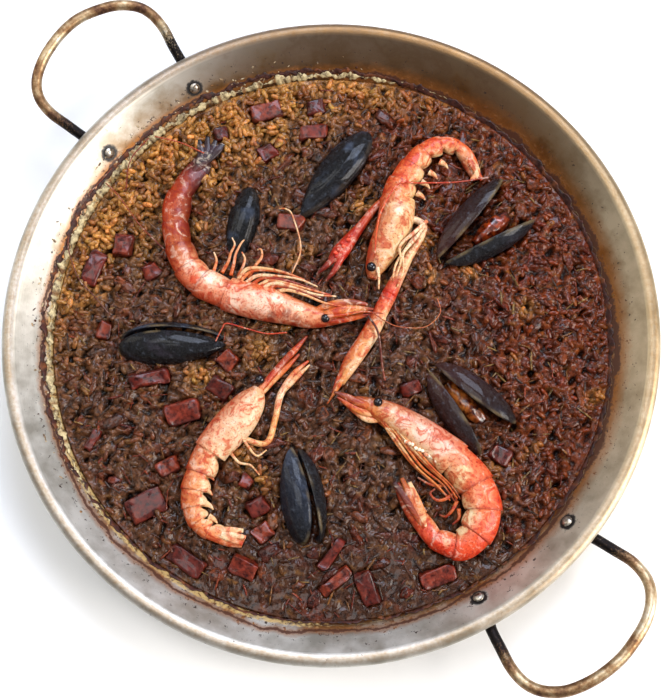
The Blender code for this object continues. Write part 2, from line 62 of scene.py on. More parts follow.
def linear(colour):
    """The linear RGB of an sRGB hex colour: c / 12.92 below 0.04045, else ((c + 0.055) / 1.055) ^ 2.4."""
    channels = np.array([int(colour[i : i + 2], 16) for i in (0, 2, 4)]) / 255
    return np.where(channels <= 0.04045, channels / 12.92, ((channels + 0.055) / 1.055) ** 2.4)


def node(tree, kind, inputs=(), out=0, stops=(), **settings):
    """Adds a node. inputs gives values or links by socket name or number, stops a ramp's colours."""
    made = tree.nodes.new("ShaderNode" + kind)
    for key, value in settings.items():
        setattr(made, key, value)
    for key, value in dict(inputs).items():
        open_sockets = [s for s in made.inputs if s.enabled]
        socket = open_sockets[key] if isinstance(key, int) else next(s for s in open_sockets if s.name == key)
        if isinstance(value, bpy.types.NodeSocket):
            tree.links.new(value, socket)
        elif isinstance(value, str):
            socket.default_value = (*linear(value), 1.0)
        else:
            socket.default_value = value
    for k, (place, colour) in enumerate(stops):
        mark = made.color_ramp.elements[k] if k < 2 else made.color_ramp.elements.new(place)
        mark.position = place
        mark.color = (*linear(colour), 1.0)
    return made.outputs[out] if isinstance(out, str) else [s for s in made.outputs if s.enabled][out]


def new_look(name, inputs):
    """An empty material with its Principled shader's plain values set. Returns (tree, shader)."""
    look = bpy.data.materials.new(name)
    look.use_nodes = True
    shader = look.node_tree.nodes["Principled BSDF"]
    for key, value in inputs.items():
        shader.inputs[key].default_value = (*linear(value), 1.0) if isinstance(value, str) else value
    return look.node_tree, shader


def wire(tree, shader, **links):
    """Links the shader's sockets, named with a low line for each space."""
    for name, value in links.items():
        tree.links.new(value, shader.inputs[name.replace("_", " ")])


def add_lamp(name, bearing, elevation, distance, size, power, colour):
    """A square soft light on a bearing and an elevation from the pan's middle, turned to face it."""
    a, e = math.radians(bearing), math.radians(elevation)
    out = Vector(laid([math.cos(a) * math.cos(e), math.sin(a) * math.cos(e), math.sin(e)]))
    lamp = bpy.data.lights.new(name, "AREA")
    lamp.shape = "SQUARE"
    lamp.size = size
    lamp.energy = power
    lamp.color = linear(colour)
    made = bpy.data.objects.new(name, lamp)
    bpy.context.scene.collection.objects.link(made)
    made.matrix_world = Matrix.Translation(out * distance) @ out.to_track_quat("Z", "Y").to_matrix().to_4x4()


CAMERA_PLACE = (21.0, -167.9, 771.5)
CAMERA_AIM = (2.0, -11.9, 30.0)
CAMERA_ROLL = math.radians(-1.58)
CAMERA_LENS = 60.2

lens = bpy.data.cameras.new("camera")
lens.lens = CAMERA_LENS
camera = bpy.data.objects.new("camera", lens)
bpy.context.scene.collection.objects.link(camera)
bpy.context.scene.camera = camera
place, aim = Vector(laid(CAMERA_PLACE)) * MM, Vector(laid(CAMERA_AIM)) * MM
back = (place - aim).normalized()
right = Vector(laid((math.sin(CAMERA_ROLL), math.cos(CAMERA_ROLL), 0.0))).cross(back).normalized()
facing = Matrix((right, back.cross(right), back)).transposed().to_4x4()
camera.matrix_world = Matrix.Translation(place) @ facing

bpy.context.scene.view_settings.view_transform = "Standard"
world = bpy.data.worlds.new("daylight")
world.use_nodes = True
world.node_tree.nodes["Background"].inputs["Color"].default_value = (*linear("eef2fa"), 1.0)
world.node_tree.nodes["Background"].inputs["Strength"].default_value = 0.31
bpy.context.scene.world = world
add_lamp("window", -14, 36, 1.7, 0.9, 31, "fff9f2")
add_lamp("far sky", 76, 50, 1.8, 0.9, 28, "dae6ff")
add_lamp("ceiling", 150, 78, 1.9, 0.9, 10, "ffffff")
add_lamp("side fill", 158, 34, 1.8, 1.0, 7, "fff8ea")

FLOOR = 9000.0
floor_mesh = bpy.data.meshes.new("floor")
corners = [(u * FLOOR * MM, v * FLOOR * MM, -0.2 * MM) for u, v in ((-1, -1), (1, -1), (1, 1), (-1, 1))]
floor_mesh.from_pydata(corners, [], [(0, 1, 2, 3)])
floor = bpy.data.objects.new("floor", floor_mesh)
bpy.context.scene.collection.objects.link(floor)
tree, shader = new_look("matt white table", {"Roughness": 0.7})
spot = node(tree, "TexCoord", out="Object")
soft = node(tree, "TexNoise", {"Vector": spot, "Scale": 3.0, "Detail": 3.0})
shade = node(tree, "ValToRGB", {"Fac": soft}, stops=((0.3, "f7f6f4"), (0.7, "ffffff")))
wire(tree, shader, Base_Color=shade)
floor_mesh.materials.append(bpy.data.materials["matt white table"])

# ---- the pan ----
# A paella pan pressed from 1.5 mm carbon-steel sheet, its wall flared and its rim rolled outwards.
# The wall is scoured bright, heat has tinted it straw and brown, and fat has burnt on in specks. The
# brown of the far wall is also painted shade, and the cream of the right wall a painted reflection.

RIM_RADIUS, PAN_HEIGHT, SHEET = 210.0, 46.0, 1.5
WALL_SLOPE = math.radians(48.0)
FOOT_FILLET, LIP_RADIUS, LIP_TURN = 20.0, 5.0, math.radians(50.0)
PAN_SIDES = 256
LIP_MIDDLE = np.array(
    [RIM_RADIUS - (LIP_RADIUS + SHEET / 2) * math.sin(LIP_TURN), PAN_HEIGHT - LIP_RADIUS - SHEET / 2]
)
UP_WALL = np.array([math.cos(WALL_SLOPE), math.sin(WALL_SLOPE)])
OFF_WALL = np.array([math.sin(WALL_SLOPE), -math.cos(WALL_SLOPE)])
WALL_TOP = LIP_MIDDLE - LIP_RADIUS * OFF_WALL
WALL_FOOT_HEIGHT = FOOT_FILLET + SHEET / 2 - FOOT_FILLET * math.cos(WALL_SLOPE)
WALL_FOOT = WALL_TOP - UP_WALL * (WALL_TOP[1] - WALL_FOOT_HEIGHT) / UP_WALL[1]
FOOT_RADIUS = WALL_FOOT[0] - FOOT_FILLET * math.sin(WALL_SLOPE)


def pan_section(inward):
    """(radius, height) from the middle of the base to the lip's end, offset inwards from the sheet's
    middle: a flat, an arc of the foot's fillet up to 48 degrees, a straight wall, the lip's arc."""
    flat = np.linspace(0, FOOT_RADIUS, 9)[1:-1]
    turn = np.linspace(0, WALL_SLOPE, 9)
    arc = FOOT_FILLET - inward
    foot = np.stack([FOOT_RADIUS + arc * np.sin(turn), FOOT_FILLET + SHEET / 2 - arc * np.cos(turn)], 1)
    slope = np.linspace(WALL_SLOPE, -LIP_TURN, 17)
    roll = LIP_RADIUS + inward
    lip = np.stack([LIP_MIDDLE[0] - roll * np.sin(slope), LIP_MIDDLE[1] + roll * np.cos(slope)], 1)
    share = np.linspace(0, 1, 12)[1:-1, None]
    wall = foot[-1] * (1 - share) + lip[0] * share
    base = np.stack([flat, np.full(len(flat), SHEET / 2 + inward)], 1)
    return np.vstack([base, foot, wall, lip])


def wall_radius(height, inward):
    """Radius at a height of the surface that lies inwards of the middle of the sloping wall."""
    at_foot = WALL_FOOT - inward * OFF_WALL
    return at_foot[0] + (height - at_foot[1]) / math.tan(WALL_SLOPE)


RIVET_AZIMUTH, RIVET_HEIGHT = math.radians(10.9), 33.5


def on_wall(azimuth, climb, out):
    """The point that is climb up the wall from the rivets' height and out from the sheet's middle."""
    level = np.array([wall_radius(RIVET_HEIGHT, 0.0), RIVET_HEIGHT]) + climb * UP_WALL + out * OFF_WALL
    return np.array([level[0] * math.cos(azimuth), level[0] * math.sin(azimuth), level[1]])


def closed(rings, tone, wear=0):
    """A closed shell: points, faces, colours and which of the piece's looks it wears. Each ring is
    joined to the next one, and the first and last are drawn in to their middles."""
    n, m = rings.shape[:2]
    tone = np.broadcast_to(tone, rings.shape)
    points = np.vstack([rings.reshape(-1, 3), rings[0].mean(0), rings[-1].mean(0)])
    colours = np.vstack([tone.reshape(-1, 3), tone[0].mean(0), tone[-1].mean(0)])
    here = np.arange(n * m).reshape(n, m)
    beside = np.roll(here, -1, 1)
    quads = np.stack([here[:-1], beside[:-1], beside[1:], here[1:]], -1).reshape(-1, 4)
    first = np.stack([np.full(m, n * m), beside[0], here[0]], -1)
    last = np.stack([np.full(m, n * m + 1), here[-1], beside[-1]], -1)
    caps = np.vstack([first, last])
    fans = np.vstack([quads[:, [0, 1, 2]], quads[:, [0, 2, 3]], caps])
    if np.linalg.det(points[fans] - points.mean(0)).sum() < 0:
        quads, caps = quads[:, ::-1], caps[:, ::-1]
    return points, [quads, caps], colours, wear


def piece(name, shells, looks, nodes=(), sharp=None, diner=True):
    """One mesh object of closed shells, riding on the root body, with its colours as the attribute
    tone. Points of the diner's frame are turned into the pan's."""
    starts = np.cumsum([0] + [len(shell[0]) for shell in shells])
    points = np.vstack([shell[0] for shell in shells])
    faces = [f + start for shell, start in zip(shells, starts) for f in shell[1]]
    corners = np.concatenate([f.ravel() for f in faces])
    sizes = np.concatenate([np.full(len(f), f.shape[1]) for f in faces])
    wear = np.concatenate([np.full(sum(map(len, shell[1])), shell[3]) for shell in shells])
    mesh = bpy.data.meshes.new(name)
    mesh.vertices.add(len(points))
    mesh.vertices.foreach_set("co", ((laid(points) if diner else points) * MM).ravel())
    mesh.loops.add(len(corners))
    mesh.loops.foreach_set("vertex_index", corners)
    mesh.polygons.add(len(sizes))
    mesh.polygons.foreach_set("loop_start", np.cumsum(sizes) - sizes)
    mesh.polygons.foreach_set("material_index", wear)
    mesh.update(calc_edges=True)
    tone = mesh.attributes.new("tone", "FLOAT_COLOR", "POINT")
    colours = np.vstack([shell[2] for shell in shells])
    tone.data.foreach_set("color", np.hstack([colours, np.ones((len(colours), 1))]).ravel())
    for look in looks:
        mesh.materials.append(bpy.data.materials[look])
    mesh.shade_smooth()
    if sharp:
        mesh.set_sharp_from_angle(angle=math.radians(sharp))
    made = bpy.data.objects.new(name, mesh)
    bpy.context.scene.collection.objects.link(made)
    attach(made, "root")
    if nodes:
        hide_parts(*nodes)
    return made


def turned(section, sides):
    """A profile of (radius, height) turned about Z: x = r cos a, y = r sin a."""
    angle = 2 * math.pi * np.arange(sides) / sides
    r, z = section[:, :1], section[:, 1:]
    return np.stack([r * np.cos(angle), r * np.sin(angle), z + 0 * angle], -1)


# Scoured steel: a bright grey metal with fine round scratches, which blurs what it mirrors. The
# stains are given by the height over the rice's edge, which falls by 2 mm across the pan.
RICE_EDGE, RICE_EDGE_FALL = 23.2, 2.0 / 182.0
CLEAR_OF_STAINS = 60.0
BROWNEST_AND_SHADIEST, HOTTEST_AND_CREAM_MIRRORED = math.radians(79.0), math.radians(20.0)
tree, shader = new_look("scoured carbon steel", {"Base Color": "c4c1ba"})
metal = node(tree, "TexCoord", out="Object")
diner = node(
    tree, "Mapping", {"Vector": metal, "Rotation": (0, 0, -DINER_TURN), "Scale": (1000, 1000, 1000)}
)
parts = node(tree, "SeparateXYZ", {"Vector": diner}).node.outputs
y, z = parts["Y"], parts["Z"]
edge = node(tree, "Math", {0: y, 1: RICE_EDGE_FALL, 2: z}, operation="MULTIPLY_ADD")
over = node(tree, "Math", {0: edge, 1: RICE_EDGE}, operation="SUBTRACT")
# the tone of the body is white inside and black outside, where none of the food's stains are
inner = node(tree, "Attribute", {}, out="Fac", attribute_name="tone")
over = node(tree, "Mix", {"Factor": inner, "A": CLEAR_OF_STAINS, "B": over}, data_type="FLOAT")
blots = node(tree, "TexNoise", {"Vector": diner, "Scale": 0.045, "Detail": 8.0, "Roughness": 0.62})
flecks = node(tree, "TexNoise", {"Vector": diner, "Scale": 0.42, "Detail": 4.0, "Roughness": 0.6})
around = node(tree, "VectorMath", {0: diner, 1: (1.0, 1.0, 0.0)}, operation="MULTIPLY")
heading = node(tree, "VectorMath", {0: around}, operation="NORMALIZE")
# heat and smoke have browned the far wall most, and that brown is also painted shade; the fire stood
# off centre, nearer the right, where the wall's cream tint is also a painted reflection
browned_and_shaded, nearest = (
    node(tree, "VectorMath", {0: heading, 1: way}, out="Value", operation="DOT_PRODUCT")
    for way in [(math.cos(a), math.sin(a), 0) for a in (BROWNEST_AND_SHADIEST, HOTTEST_AND_CREAM_MIRRORED)]
)
# brushing goes round the pan, so its scratches vary with radius and height only
reach = node(tree, "VectorMath", {0: around}, out="Value", operation="LENGTH")
turns = node(tree, "CombineXYZ", {"X": reach, "Y": z, "Z": 0.0})
brushing = node(tree, "TexNoise", {"Vector": turns, "Scale": 1.6, "Detail": 3.0, "Roughness": 0.7})
# a straw stain fades out 25 mm over the rice on the far wall, whose brown is also painted shade, and
# 6 mm elsewhere
tide = node(tree, "MapRange", {"Value": browned_and_shaded, "From Min": -0.2, "From Max": 0.95, "To Min": 6.0,
                               "To Max": 24.0})
fade = node(tree, "Math", {0: over, 1: tide}, operation="DIVIDE")
ragged = node(tree, "Math", {0: blots, 1: 1.5, 2: fade}, operation="MULTIPLY_ADD")
tan_share = node(tree, "MapRange", {"Value": ragged, "From Min": 1.8, "From Max": 0.9})
deep_share = node(tree, "MapRange", {"Value": ragged, "From Min": 1.3, "From Max": 0.75, "To Max": 0.85})
# painted reflection and heat tint: the right wall is multiplied towards cream, up to 0.7
tint_and_reflection_share = node(tree, "MapRange", {"Value": nearest, "From Min": -0.1, "From Max": 0.9, "To Max": 0.7})
# painted shade and smoke stain: the far wall is blotted brown-grey, up to 0.85
smoke_and_shade_share = node(tree, "MapRange", {"Value": browned_and_shaded, "From Min": 0.5, "From Max": 0.98, "To Max": 1.0})
smoke_and_shade = node(tree, "Math", {0: smoke_and_shade_share, 1: blots}, operation="MULTIPLY")
smoked_and_shaded = node(tree, "MapRange", {"Value": smoke_and_shade, "From Min": 0.08, "From Max": 0.5, "To Max": 0.85})
# outside, the flame has left a brown-black bloom that fades out 30 mm up the wall
outer = node(tree, "Math", {0: 1.0, 1: inner}, operation="SUBTRACT")
licked = node(tree, "Math", {0: blots, 1: -50.0, 2: z}, operation="MULTIPLY_ADD")
bloom = node(tree, "MapRange", {"Value": licked, "From Min": 8.0, "From Max": -22.0, "To Max": 0.85})
bloom = node(tree, "Math", {0: bloom, 1: outer}, operation="MULTIPLY")
# a thin gold heat line along the lip's crown
crown = node(tree, "MapRange", {"Value": z, "From Min": 44.4, "From Max": 45.8, "To Max": 0.9})
gilt = node(tree, "Math", {0: crown, 1: flecks}, operation="MULTIPLY")
# burnt fat: black-brown specks of 1 to 3 mm, thick just over the rice
specks = node(tree, "TexNoise", {"Vector": diner, "Scale": 0.3, "Detail": 5.0, "Roughness": 0.75})
low = node(tree, "MapRange", {"Value": over, "From Min": 22.0, "From Max": 2.0, "To Max": 0.13})
thick = node(tree, "Math", {0: specks, 1: low}, operation="ADD")
burnt = node(tree, "MapRange", {"Value": thick, "From Min": 0.675, "From Max": 0.7})
# pale starch dried in the first 5 mm over the rice on the left, broken by the noise
starch_low = node(tree, "MapRange", {"Value": over, "From Min": 5.2, "From Max": 3.0})
leftward = node(tree, "MapRange", {"Value": nearest, "From Min": 0.1, "From Max": -0.5})
starch_low = node(tree, "Math", {0: starch_low, 1: leftward}, operation="MULTIPLY")
starch = node(tree, "Math", {0: starch_low, 1: flecks}, operation="MULTIPLY")
starch_share = node(tree, "MapRange", {"Value": starch, "From Min": 0.36, "From Max": 0.52, "To Max": 0.9})
# the tide line: dark red-brown where the stock stood, ragged, in a rusty halo; it wanders, and is a
# broad grimy band where the steel was hottest
wander = node(tree, "Math", {0: blots, 1: -11.0, 2: over}, operation="MULTIPLY_ADD")
lower = node(tree, "MapRange", {"Value": nearest, "From Min": -0.2, "From Max": 0.6, "To Min": -0.6,
                                "To Max": 3.4})
middle = node(tree, "Math", {0: wander, 1: lower}, operation="ADD")
away = node(tree, "Math", {0: middle}, operation="ABSOLUTE")
grime = node(tree, "MapRange", {"Value": nearest, "From Min": 0.2, "From Max": 0.8, "To Min": 1.0,
                                "To Max": 3.0})
close = node(tree, "Math", {0: away, 1: grime}, operation="DIVIDE")
torn = node(tree, "Math", {0: flecks, 1: 1.8, 2: close}, operation="MULTIPLY_ADD")
crusted = node(tree, "MapRange", {"Value": torn, "From Min": 2.0, "From Max": 1.5, "To Max": 0.95})
halo = node(tree, "MapRange", {"Value": torn, "From Min": 4.4, "From Max": 2.0, "To Max": 0.65})
# soot out to 7 mm from each rivet's middle: the four stand alike either side of both axes
folded = node(tree, "VectorMath", {0: metal}, operation="ABSOLUTE")
rivet_spot = on_wall(RIVET_AZIMUTH, 0, -SHEET / 2) * MM
from_rivet = node(tree, "VectorMath", {0: folded, 1: tuple(rivet_spot)}, out="Value", operation="DISTANCE")
smudge = node(tree, "Math", {0: flecks, 1: 0.0035, 2: from_rivet}, operation="MULTIPLY_ADD")
soot = node(tree, "MapRange", {"Value": smudge, "From Min": 0.0082, "From Max": 0.0068})
# the stains one over another, from the steel up; the cream tint and the far wall's brown are partly
# painted reflection and painted shade
steel = node(tree, "ValToRGB", {"Fac": blots}, stops=((0.36, "b4afa2"), (0.6, "d8d4ca")))
for share, colour, way in (
    (tan_share, "8f672f", "MIX"), (deep_share, "5a3016", "MIX"), (tint_and_reflection_share, "dcc292", "MULTIPLY"),
    (smoked_and_shaded, "62452a", "MIX"), (bloom, "3b2a20", "MIX"), (gilt, "8f6630", "MIX"), (burnt, "2c1a12", "MIX"),
    (starch_share, "b89a62", "MIX"), (halo, "a2642c", "MIX"), (crusted, "43200f", "MIX"),
    (soot, "15100e", "MIX"),
):
    steel = node(tree, "Mix", {"Factor": share, "A": steel, "B": colour}, data_type="RGBA", blend_type=way)
fouled = burnt
for share in (crusted, starch_share, soot):
    fouled = node(tree, "Math", {0: fouled, 1: share}, operation="MAXIMUM")
metallic = node(tree, "MapRange", {"Value": fouled, "To Min": 0.8, "To Max": 0.05})
gloss = node(tree, "MapRange", {"Value": blots, "From Min": 0.3, "From Max": 0.7, "To Min": 0.34,
                                "To Max": 0.5})
relief = node(tree, "Math", {0: fouled, 1: 0.8, 2: brushing}, operation="MULTIPLY_ADD")
bumps = node(tree, "Bump", {"Strength": 0.3, "Distance": 0.0003, "Height": relief}, out="Normal")
wire(tree, shader, Base_Color=steel, Metallic=metallic, Roughness=gloss, Normal=bumps)

inside, outside = pan_section(SHEET / 2), pan_section(-SHEET / 2)
pan_rings = turned(np.vstack([inside, outside[::-1]]), PAN_SIDES)
facing_food = np.arange(len(pan_rings)) < len(inside)
pan_sheet = closed(pan_rings, facing_food[:, None, None] * np.ones(3))
piece("pan_body", [pan_sheet], ["scoured carbon steel"], ["pan"], 50, diner=False)

# ---- the handles and their rivets ----
# Each handle is 7 mm steel rod bent by hand, its ends hammered flat and riveted to the wall. Years
# over the flame have turned it straw, copper, purple and black.

ROD, HANDLE_RISE = 7.0, math.radians(20.0)
HANDLE_START_REACH, HANDLE_START_HEIGHT, HANDLE_TIP = 203.0, 35.8, 266.5
HANDLE_BENDS = (
    (
        ((208, 42.3), (219, 45.5), (231.5, 48.7), (243, 47.6), (252.5, 41.5), (260, 30), (264.7, 14)),
        ((208, 43.3), (219, 46.3), (231.5, 49.3), (243, 48.8), (252.5, 43.6), (260.5, 33), (265.3, 17)),
    ),
    (
        ((208, 43), (219, 46.5), (231.5, 50.2), (243, 49.7), (252.5, 43.2), (260, 30.5), (264.8, 15)),
        ((208, 41), (219, 42.6), (231.5, 44.9), (243, 43.8), (251.5, 39), (259.3, 28.5), (264.4, 14)),
    ),
)
TAB_THICKNESS, GAP = 3.0, 0.3
TAB_BEND = (200.5, 39.8, 8.5, 6)
HANDLE_ROWS, HANDLE_SIDES, RIVET_SIDES = 200, 20, 32


def along(stations, at):
    """Rows of the Catmull-Rom curve through the stations, at the given station numbers."""
    rows = np.array(stations, float)
    rows = np.vstack([2 * rows[0] - rows[1], rows, 2 * rows[-1] - rows[-2]])
    first = np.clip(np.floor(at).astype(int), 0, len(stations) - 2)
    t = (at - first)[:, None]
    a, b, c, d = (rows[first + k] for k in range(4))
    return 0.5 * (2 * b + (c - a) * t + (2 * a - 5 * b + 4 * c - d) * t**2 + (3 * b - a - 3 * c + d) * t**3)


def handle_side(bends, side):
    """Stations of half a handle, from its tab to its tip: place, width, thickness, flat normal."""
    azimuth = side * RIVET_AZIMUTH
    wall_normal = (OFF_WALL[0] * math.cos(azimuth), OFF_WALL[0] * math.sin(azimuth), OFF_WALL[1])
    loop_normal = (math.sin(HANDLE_RISE), 0.0, -math.cos(HANDLE_RISE))
    tab_middle = SHEET / 2 + GAP + TAB_THICKNESS / 2
    tab = ((-9, 8), (-6, 13), (0, 15), (5.4, 13))
    rows = []
    for climb, width in tab:
        rows.append((*on_wall(azimuth, climb, tab_middle), width, TAB_THICKNESS, *wall_normal))
    for x, y, width, thickness in [TAB_BEND] + [(x, y, ROD, ROD) for x, y in bends]:
        height = HANDLE_START_HEIGHT + (x - HANDLE_START_REACH) * math.tan(HANDLE_RISE)
        rows.append((x, side * y, height, width, thickness, *loop_normal))
    return rows


def handle_rings(bends):
    """Rings of a round rod whose ends are flattened into tabs: centre + w/2 cos a across
    + t/2 sin a thin, with w, t and the flat's normal read along the stations."""
    height = HANDLE_START_HEIGHT + (HANDLE_TIP - HANDLE_START_REACH) * math.tan(HANDLE_RISE)
    tip = (HANDLE_TIP, 0, height, ROD, ROD, math.sin(HANDLE_RISE), 0.0, -math.cos(HANDLE_RISE))
    stations = handle_side(bends[0], 1) + [tip] + handle_side(bends[1], -1)[::-1]
    rows = along(stations, np.linspace(0, len(stations) - 1, HANDLE_ROWS))
    centre, normal = rows[:, :3], rows[:, 5:]
    run = np.gradient(centre, axis=0)
    across = np.cross(run, normal)
    across /= np.linalg.norm(across, axis=1)[:, None]
    thin = np.cross(across, run)
    thin /= np.linalg.norm(thin, axis=1)[:, None]
    angle = 2 * math.pi * (np.arange(HANDLE_SIDES) + 0.5) / HANDLE_SIDES
    level = rows[:, 3, None, None] / 2 * np.cos(angle)[:, None] * across[:, None]
    return centre[:, None] + level + rows[:, 4, None, None] / 2 * np.sin(angle)[:, None] * thin[:, None]


# Flame-burnt steel: patches of straw, copper, purple-brown and black oxide a centimetre or two
# long, flaked and blackest near the pan's rim and clean 40 mm out from it.
tree, shader = new_look("flame-burnt steel rod", {"Metallic": 0.85})
metal = node(tree, "TexCoord", out="Object")
patches = node(tree, "TexNoise", {"Vector": metal, "Scale": 42.0, "Detail": 8.0, "Roughness": 0.72})
oxide = node(
    tree, "ValToRGB", {"Fac": patches},
    stops=((0.3, "1c1412"), (0.68, "d6cbb6"), (0.4, "5a3c2c"), (0.48, "8c6a48"), (0.57, "b8a17e")),
)
from_pan = node(tree, "VectorMath", {0: metal}, out="Value", operation="LENGTH")
# near-black flecks on the rod, densest within 222 mm of the pan's middle and gone beyond 250 mm
near_rim_black = node(tree, "MapRange", {"Value": from_pan, "From Min": 0.25, "From Max": 0.222, "To Max": 0.85})
grit = node(tree, "TexNoise", {"Vector": metal, "Scale": 900.0, "Detail": 3.0})
flaked = node(tree, "Math", {0: near_rim_black, 1: grit}, operation="MULTIPLY")
flake_share = node(tree, "MapRange", {"Value": flaked, "From Min": 0.12, "From Max": 0.34})
rod = node(tree, "Mix", {"Factor": flake_share, "A": oxide, "B": "171211"}, data_type="RGBA")
gloss = node(tree, "MapRange", {"Value": patches, "From Min": 0.3, "From Max": 0.7, "To Min": 0.6,
                                "To Max": 0.32})
bumps = node(tree, "Bump", {"Strength": 0.4, "Distance": 0.0004, "Height": grit}, out="Normal")
wire(tree, shader, Base_Color=rod, Roughness=gloss, Normal=bumps)

for k, bends in enumerate(HANDLE_BENDS):
    rings = handle_rings(bends) * ((1, 1, 1) if k == 0 else (-1, -1, 1))
    name = f"handle_{k + 1}"
    rod = closed(rings, linear("47302a"))
    piece(f"{name}_rod", [rod], ["flame-burnt steel rod"], [name], diner=False)


def toned_look(name, values, noise, dirt, gloss, relief, fine=0.0):
    """A look whose colour is the piece's tone, darkened in spots. noise is its scale, detail and
    roughness; dirt is where the spots end, where the clear begins and the spots' shade; gloss is the
    surface's roughness in spots and out of them; relief is the bump's strength and depth, with a
    finer noise added at the scale fine."""
    tree, shader = new_look(name, values)
    tone = node(tree, "Attribute", {}, out="Color", attribute_name="tone")
    where = node(tree, "TexCoord", out="Object")
    scale, detail, rough = noise
    spots = node(tree, "TexNoise", {"Vector": where, "Scale": scale, "Detail": detail, "Roughness": rough})
    shade = node(tree, "ValToRGB", {"Fac": spots}, stops=((dirt[0], dirt[2]), (dirt[1], "ffffff")))
    both = {"Factor": 1.0, "A": tone, "B": shade}
    colour = node(tree, "Mix", both, data_type="RGBA", blend_type="MULTIPLY")
    if gloss:
        shine = {"Value": spots, "From Min": 0.35, "From Max": 0.65, "To Min": gloss[0], "To Max": gloss[1]}
        wire(tree, shader, Roughness=node(tree, "MapRange", shine))
    height = spots
    if fine:
        skin = node(tree, "TexNoise", {"Vector": where, "Scale": fine, "Detail": 3.0})
        height = node(tree, "Math", {0: spots, 1: 2.0, 2: skin}, operation="MULTIPLY_ADD")
    bumps = node(tree, "Bump", {"Strength": relief[0], "Distance": relief[1], "Height": height}, out="Normal")
    wire(tree, shader, Base_Color=colour, Normal=bumps)


# Rivets: soft steel, hammered to a low dome on each side.
toned_look(
    "hammered rivet steel", {"Metallic": 0.9, "Roughness": 0.36},
    (420.0, 4.0, 0.5), (0.35, 0.6, "6d5a49"), None, (0.3, 0.0004),
)
# each rivet's profile of radius and distance out from the sheet's middle, outer head first
OUTER_FACE, INNER_FACE = SHEET / 2 + TAB_THICKNESS + 2 * GAP, -SHEET / 2 - GAP - 0.2
RIVET = (
    (0.8, OUTER_FACE + 1.55), (2.0, OUTER_FACE + 1.35), (3.2, OUTER_FACE + 0.8), (3.8, OUTER_FACE + 0.2),
    (3.6, OUTER_FACE), (2.5, OUTER_FACE), (2.5, INNER_FACE), (3.4, INNER_FACE), (3.6, INNER_FACE - 0.3),
    (3.1, INNER_FACE - 1.1), (2.0, INNER_FACE - 1.7), (0.8, INNER_FACE - 1.95),
)
for k, azimuth in enumerate([s + t for t in (0, math.pi) for s in (RIVET_AZIMUTH, -RIVET_AZIMUTH)]):
    out = np.array([OFF_WALL[0] * math.cos(azimuth), OFF_WALL[0] * math.sin(azimuth), OFF_WALL[1]])
    level = np.array([-math.sin(azimuth), math.cos(azimuth), 0])
    stand = np.stack([level, np.cross(out, level), out])
    rings = turned(np.array(RIVET), RIVET_SIDES) @ stand + on_wall(azimuth, 0, 0)
    dome, name = closed(rings, linear("cfc6b6")), f"rivet_{k + 1}"
    piece(f"{name}_dome", [dome], ["hammered rivet steel"], [name], 50, diner=False)

# ---- the rice ----
# Short plump rice boiled in fish stock with squid ink and peppers until it drank it: golden at the
# far side, dark and wet in the middle, and with broth still standing at the near edge.

RICE_RADIUS, RICE_CENTRE = 182.0, 26.0


def ripples(points, size, seed):
    """Smooth noise, mostly from -1.5 to 1.5: the sum of seven sine waves about size mm long, in
    drawn directions, over the root of seven."""
    draw = np.random.default_rng(seed)
    ways = draw.normal(size=(7, points.shape[-1]))
    ways *= (2 * math.pi / size * draw.uniform(0.6, 1.5, 7) / np.linalg.norm(ways, axis=1))[:, None]
    return np.sin(points @ ways.T + draw.uniform(0, 6.3, 7)).sum(-1) / 7**0.5


def smooth(value, low, high):
    """0 below low, 1 above high, and t^2 (3 - 2t) between."""
    t = np.clip((value - low) / (high - low), 0, 1)
    return t * t * (3 - 2 * t)


def rice_height(x, y):
    """Height of the rice at a place: near level, with low humps and hollows."""
    edge = RICE_EDGE - RICE_EDGE_FALL * y
    crown = (RICE_CENTRE - edge) * (1 - np.minimum(1.0, np.hypot(x, y) / RICE_RADIUS) ** 4)
    return edge + crown + 0.7 * np.sin(x / 17 + 1) * np.cos(y / 21) + 0.4 * np.sin((x + y) / 11)


def mixed(one, two, share):
    """Two linear colours mixed, with the share as an array."""
    return one + (two - one) * np.asarray(share)[..., None]


# x, y and radius of the lumps of rice that took little ink
PALE_LUMPS = np.array([
    (64, 40, 6), (-83, -30, 9), (-72, -37, 7), (-45, -13, 10), (58, 64, 7), (91, 44, 6), (-52, -80, 9),
    (-42, -98, 8), (-30, 8, 7), (-66, -56, 6), (128, 20, 6), (20, 92, 8),
])


def golden_share(x, y):
    """How golden the rice stayed: wholly at the far left, partly along the far rim, and in lumps
    that stand out of the dark mass, each exp(-(distance / radius)^2)."""
    flat = np.stack([x, y], -1)
    far = smooth(0.8 * y - 0.6 * x, 92, 160)
    rim = 0.55 * smooth(np.hypot(x, y), 148, 178) * smooth(y, -60, 40) * (1 - smooth(x, 30, 120))
    apart = (x[..., None] - PALE_LUMPS[:, 0]) ** 2 + (y[..., None] - PALE_LUMPS[:, 1]) ** 2
    lump = 0.8 * np.exp(-apart / PALE_LUMPS[:, 2] ** 2).sum(-1)
    lump += 0.35 * smooth(ripples(flat, 40, 3), 1.0, 1.8)
    return np.clip((far + rim) * (0.8 + 0.35 * ripples(flat, 26, 4)) + lump, 0, 1)


def broth_share(x, y):
    """How deep the broth stands: at the near edge, in a few pools, and a film in the middle."""
    flat = np.stack([x, y], -1)
    near = smooth(-y - 0.2 * np.abs(x), 70, 150)
    middle = 0.45 * smooth(-np.hypot(x - 30, y + 30), -110, -30)
    return np.clip(near + middle + 0.35 * smooth(ripples(flat, 38, 5), 0.6, 1.4), 0, 1)


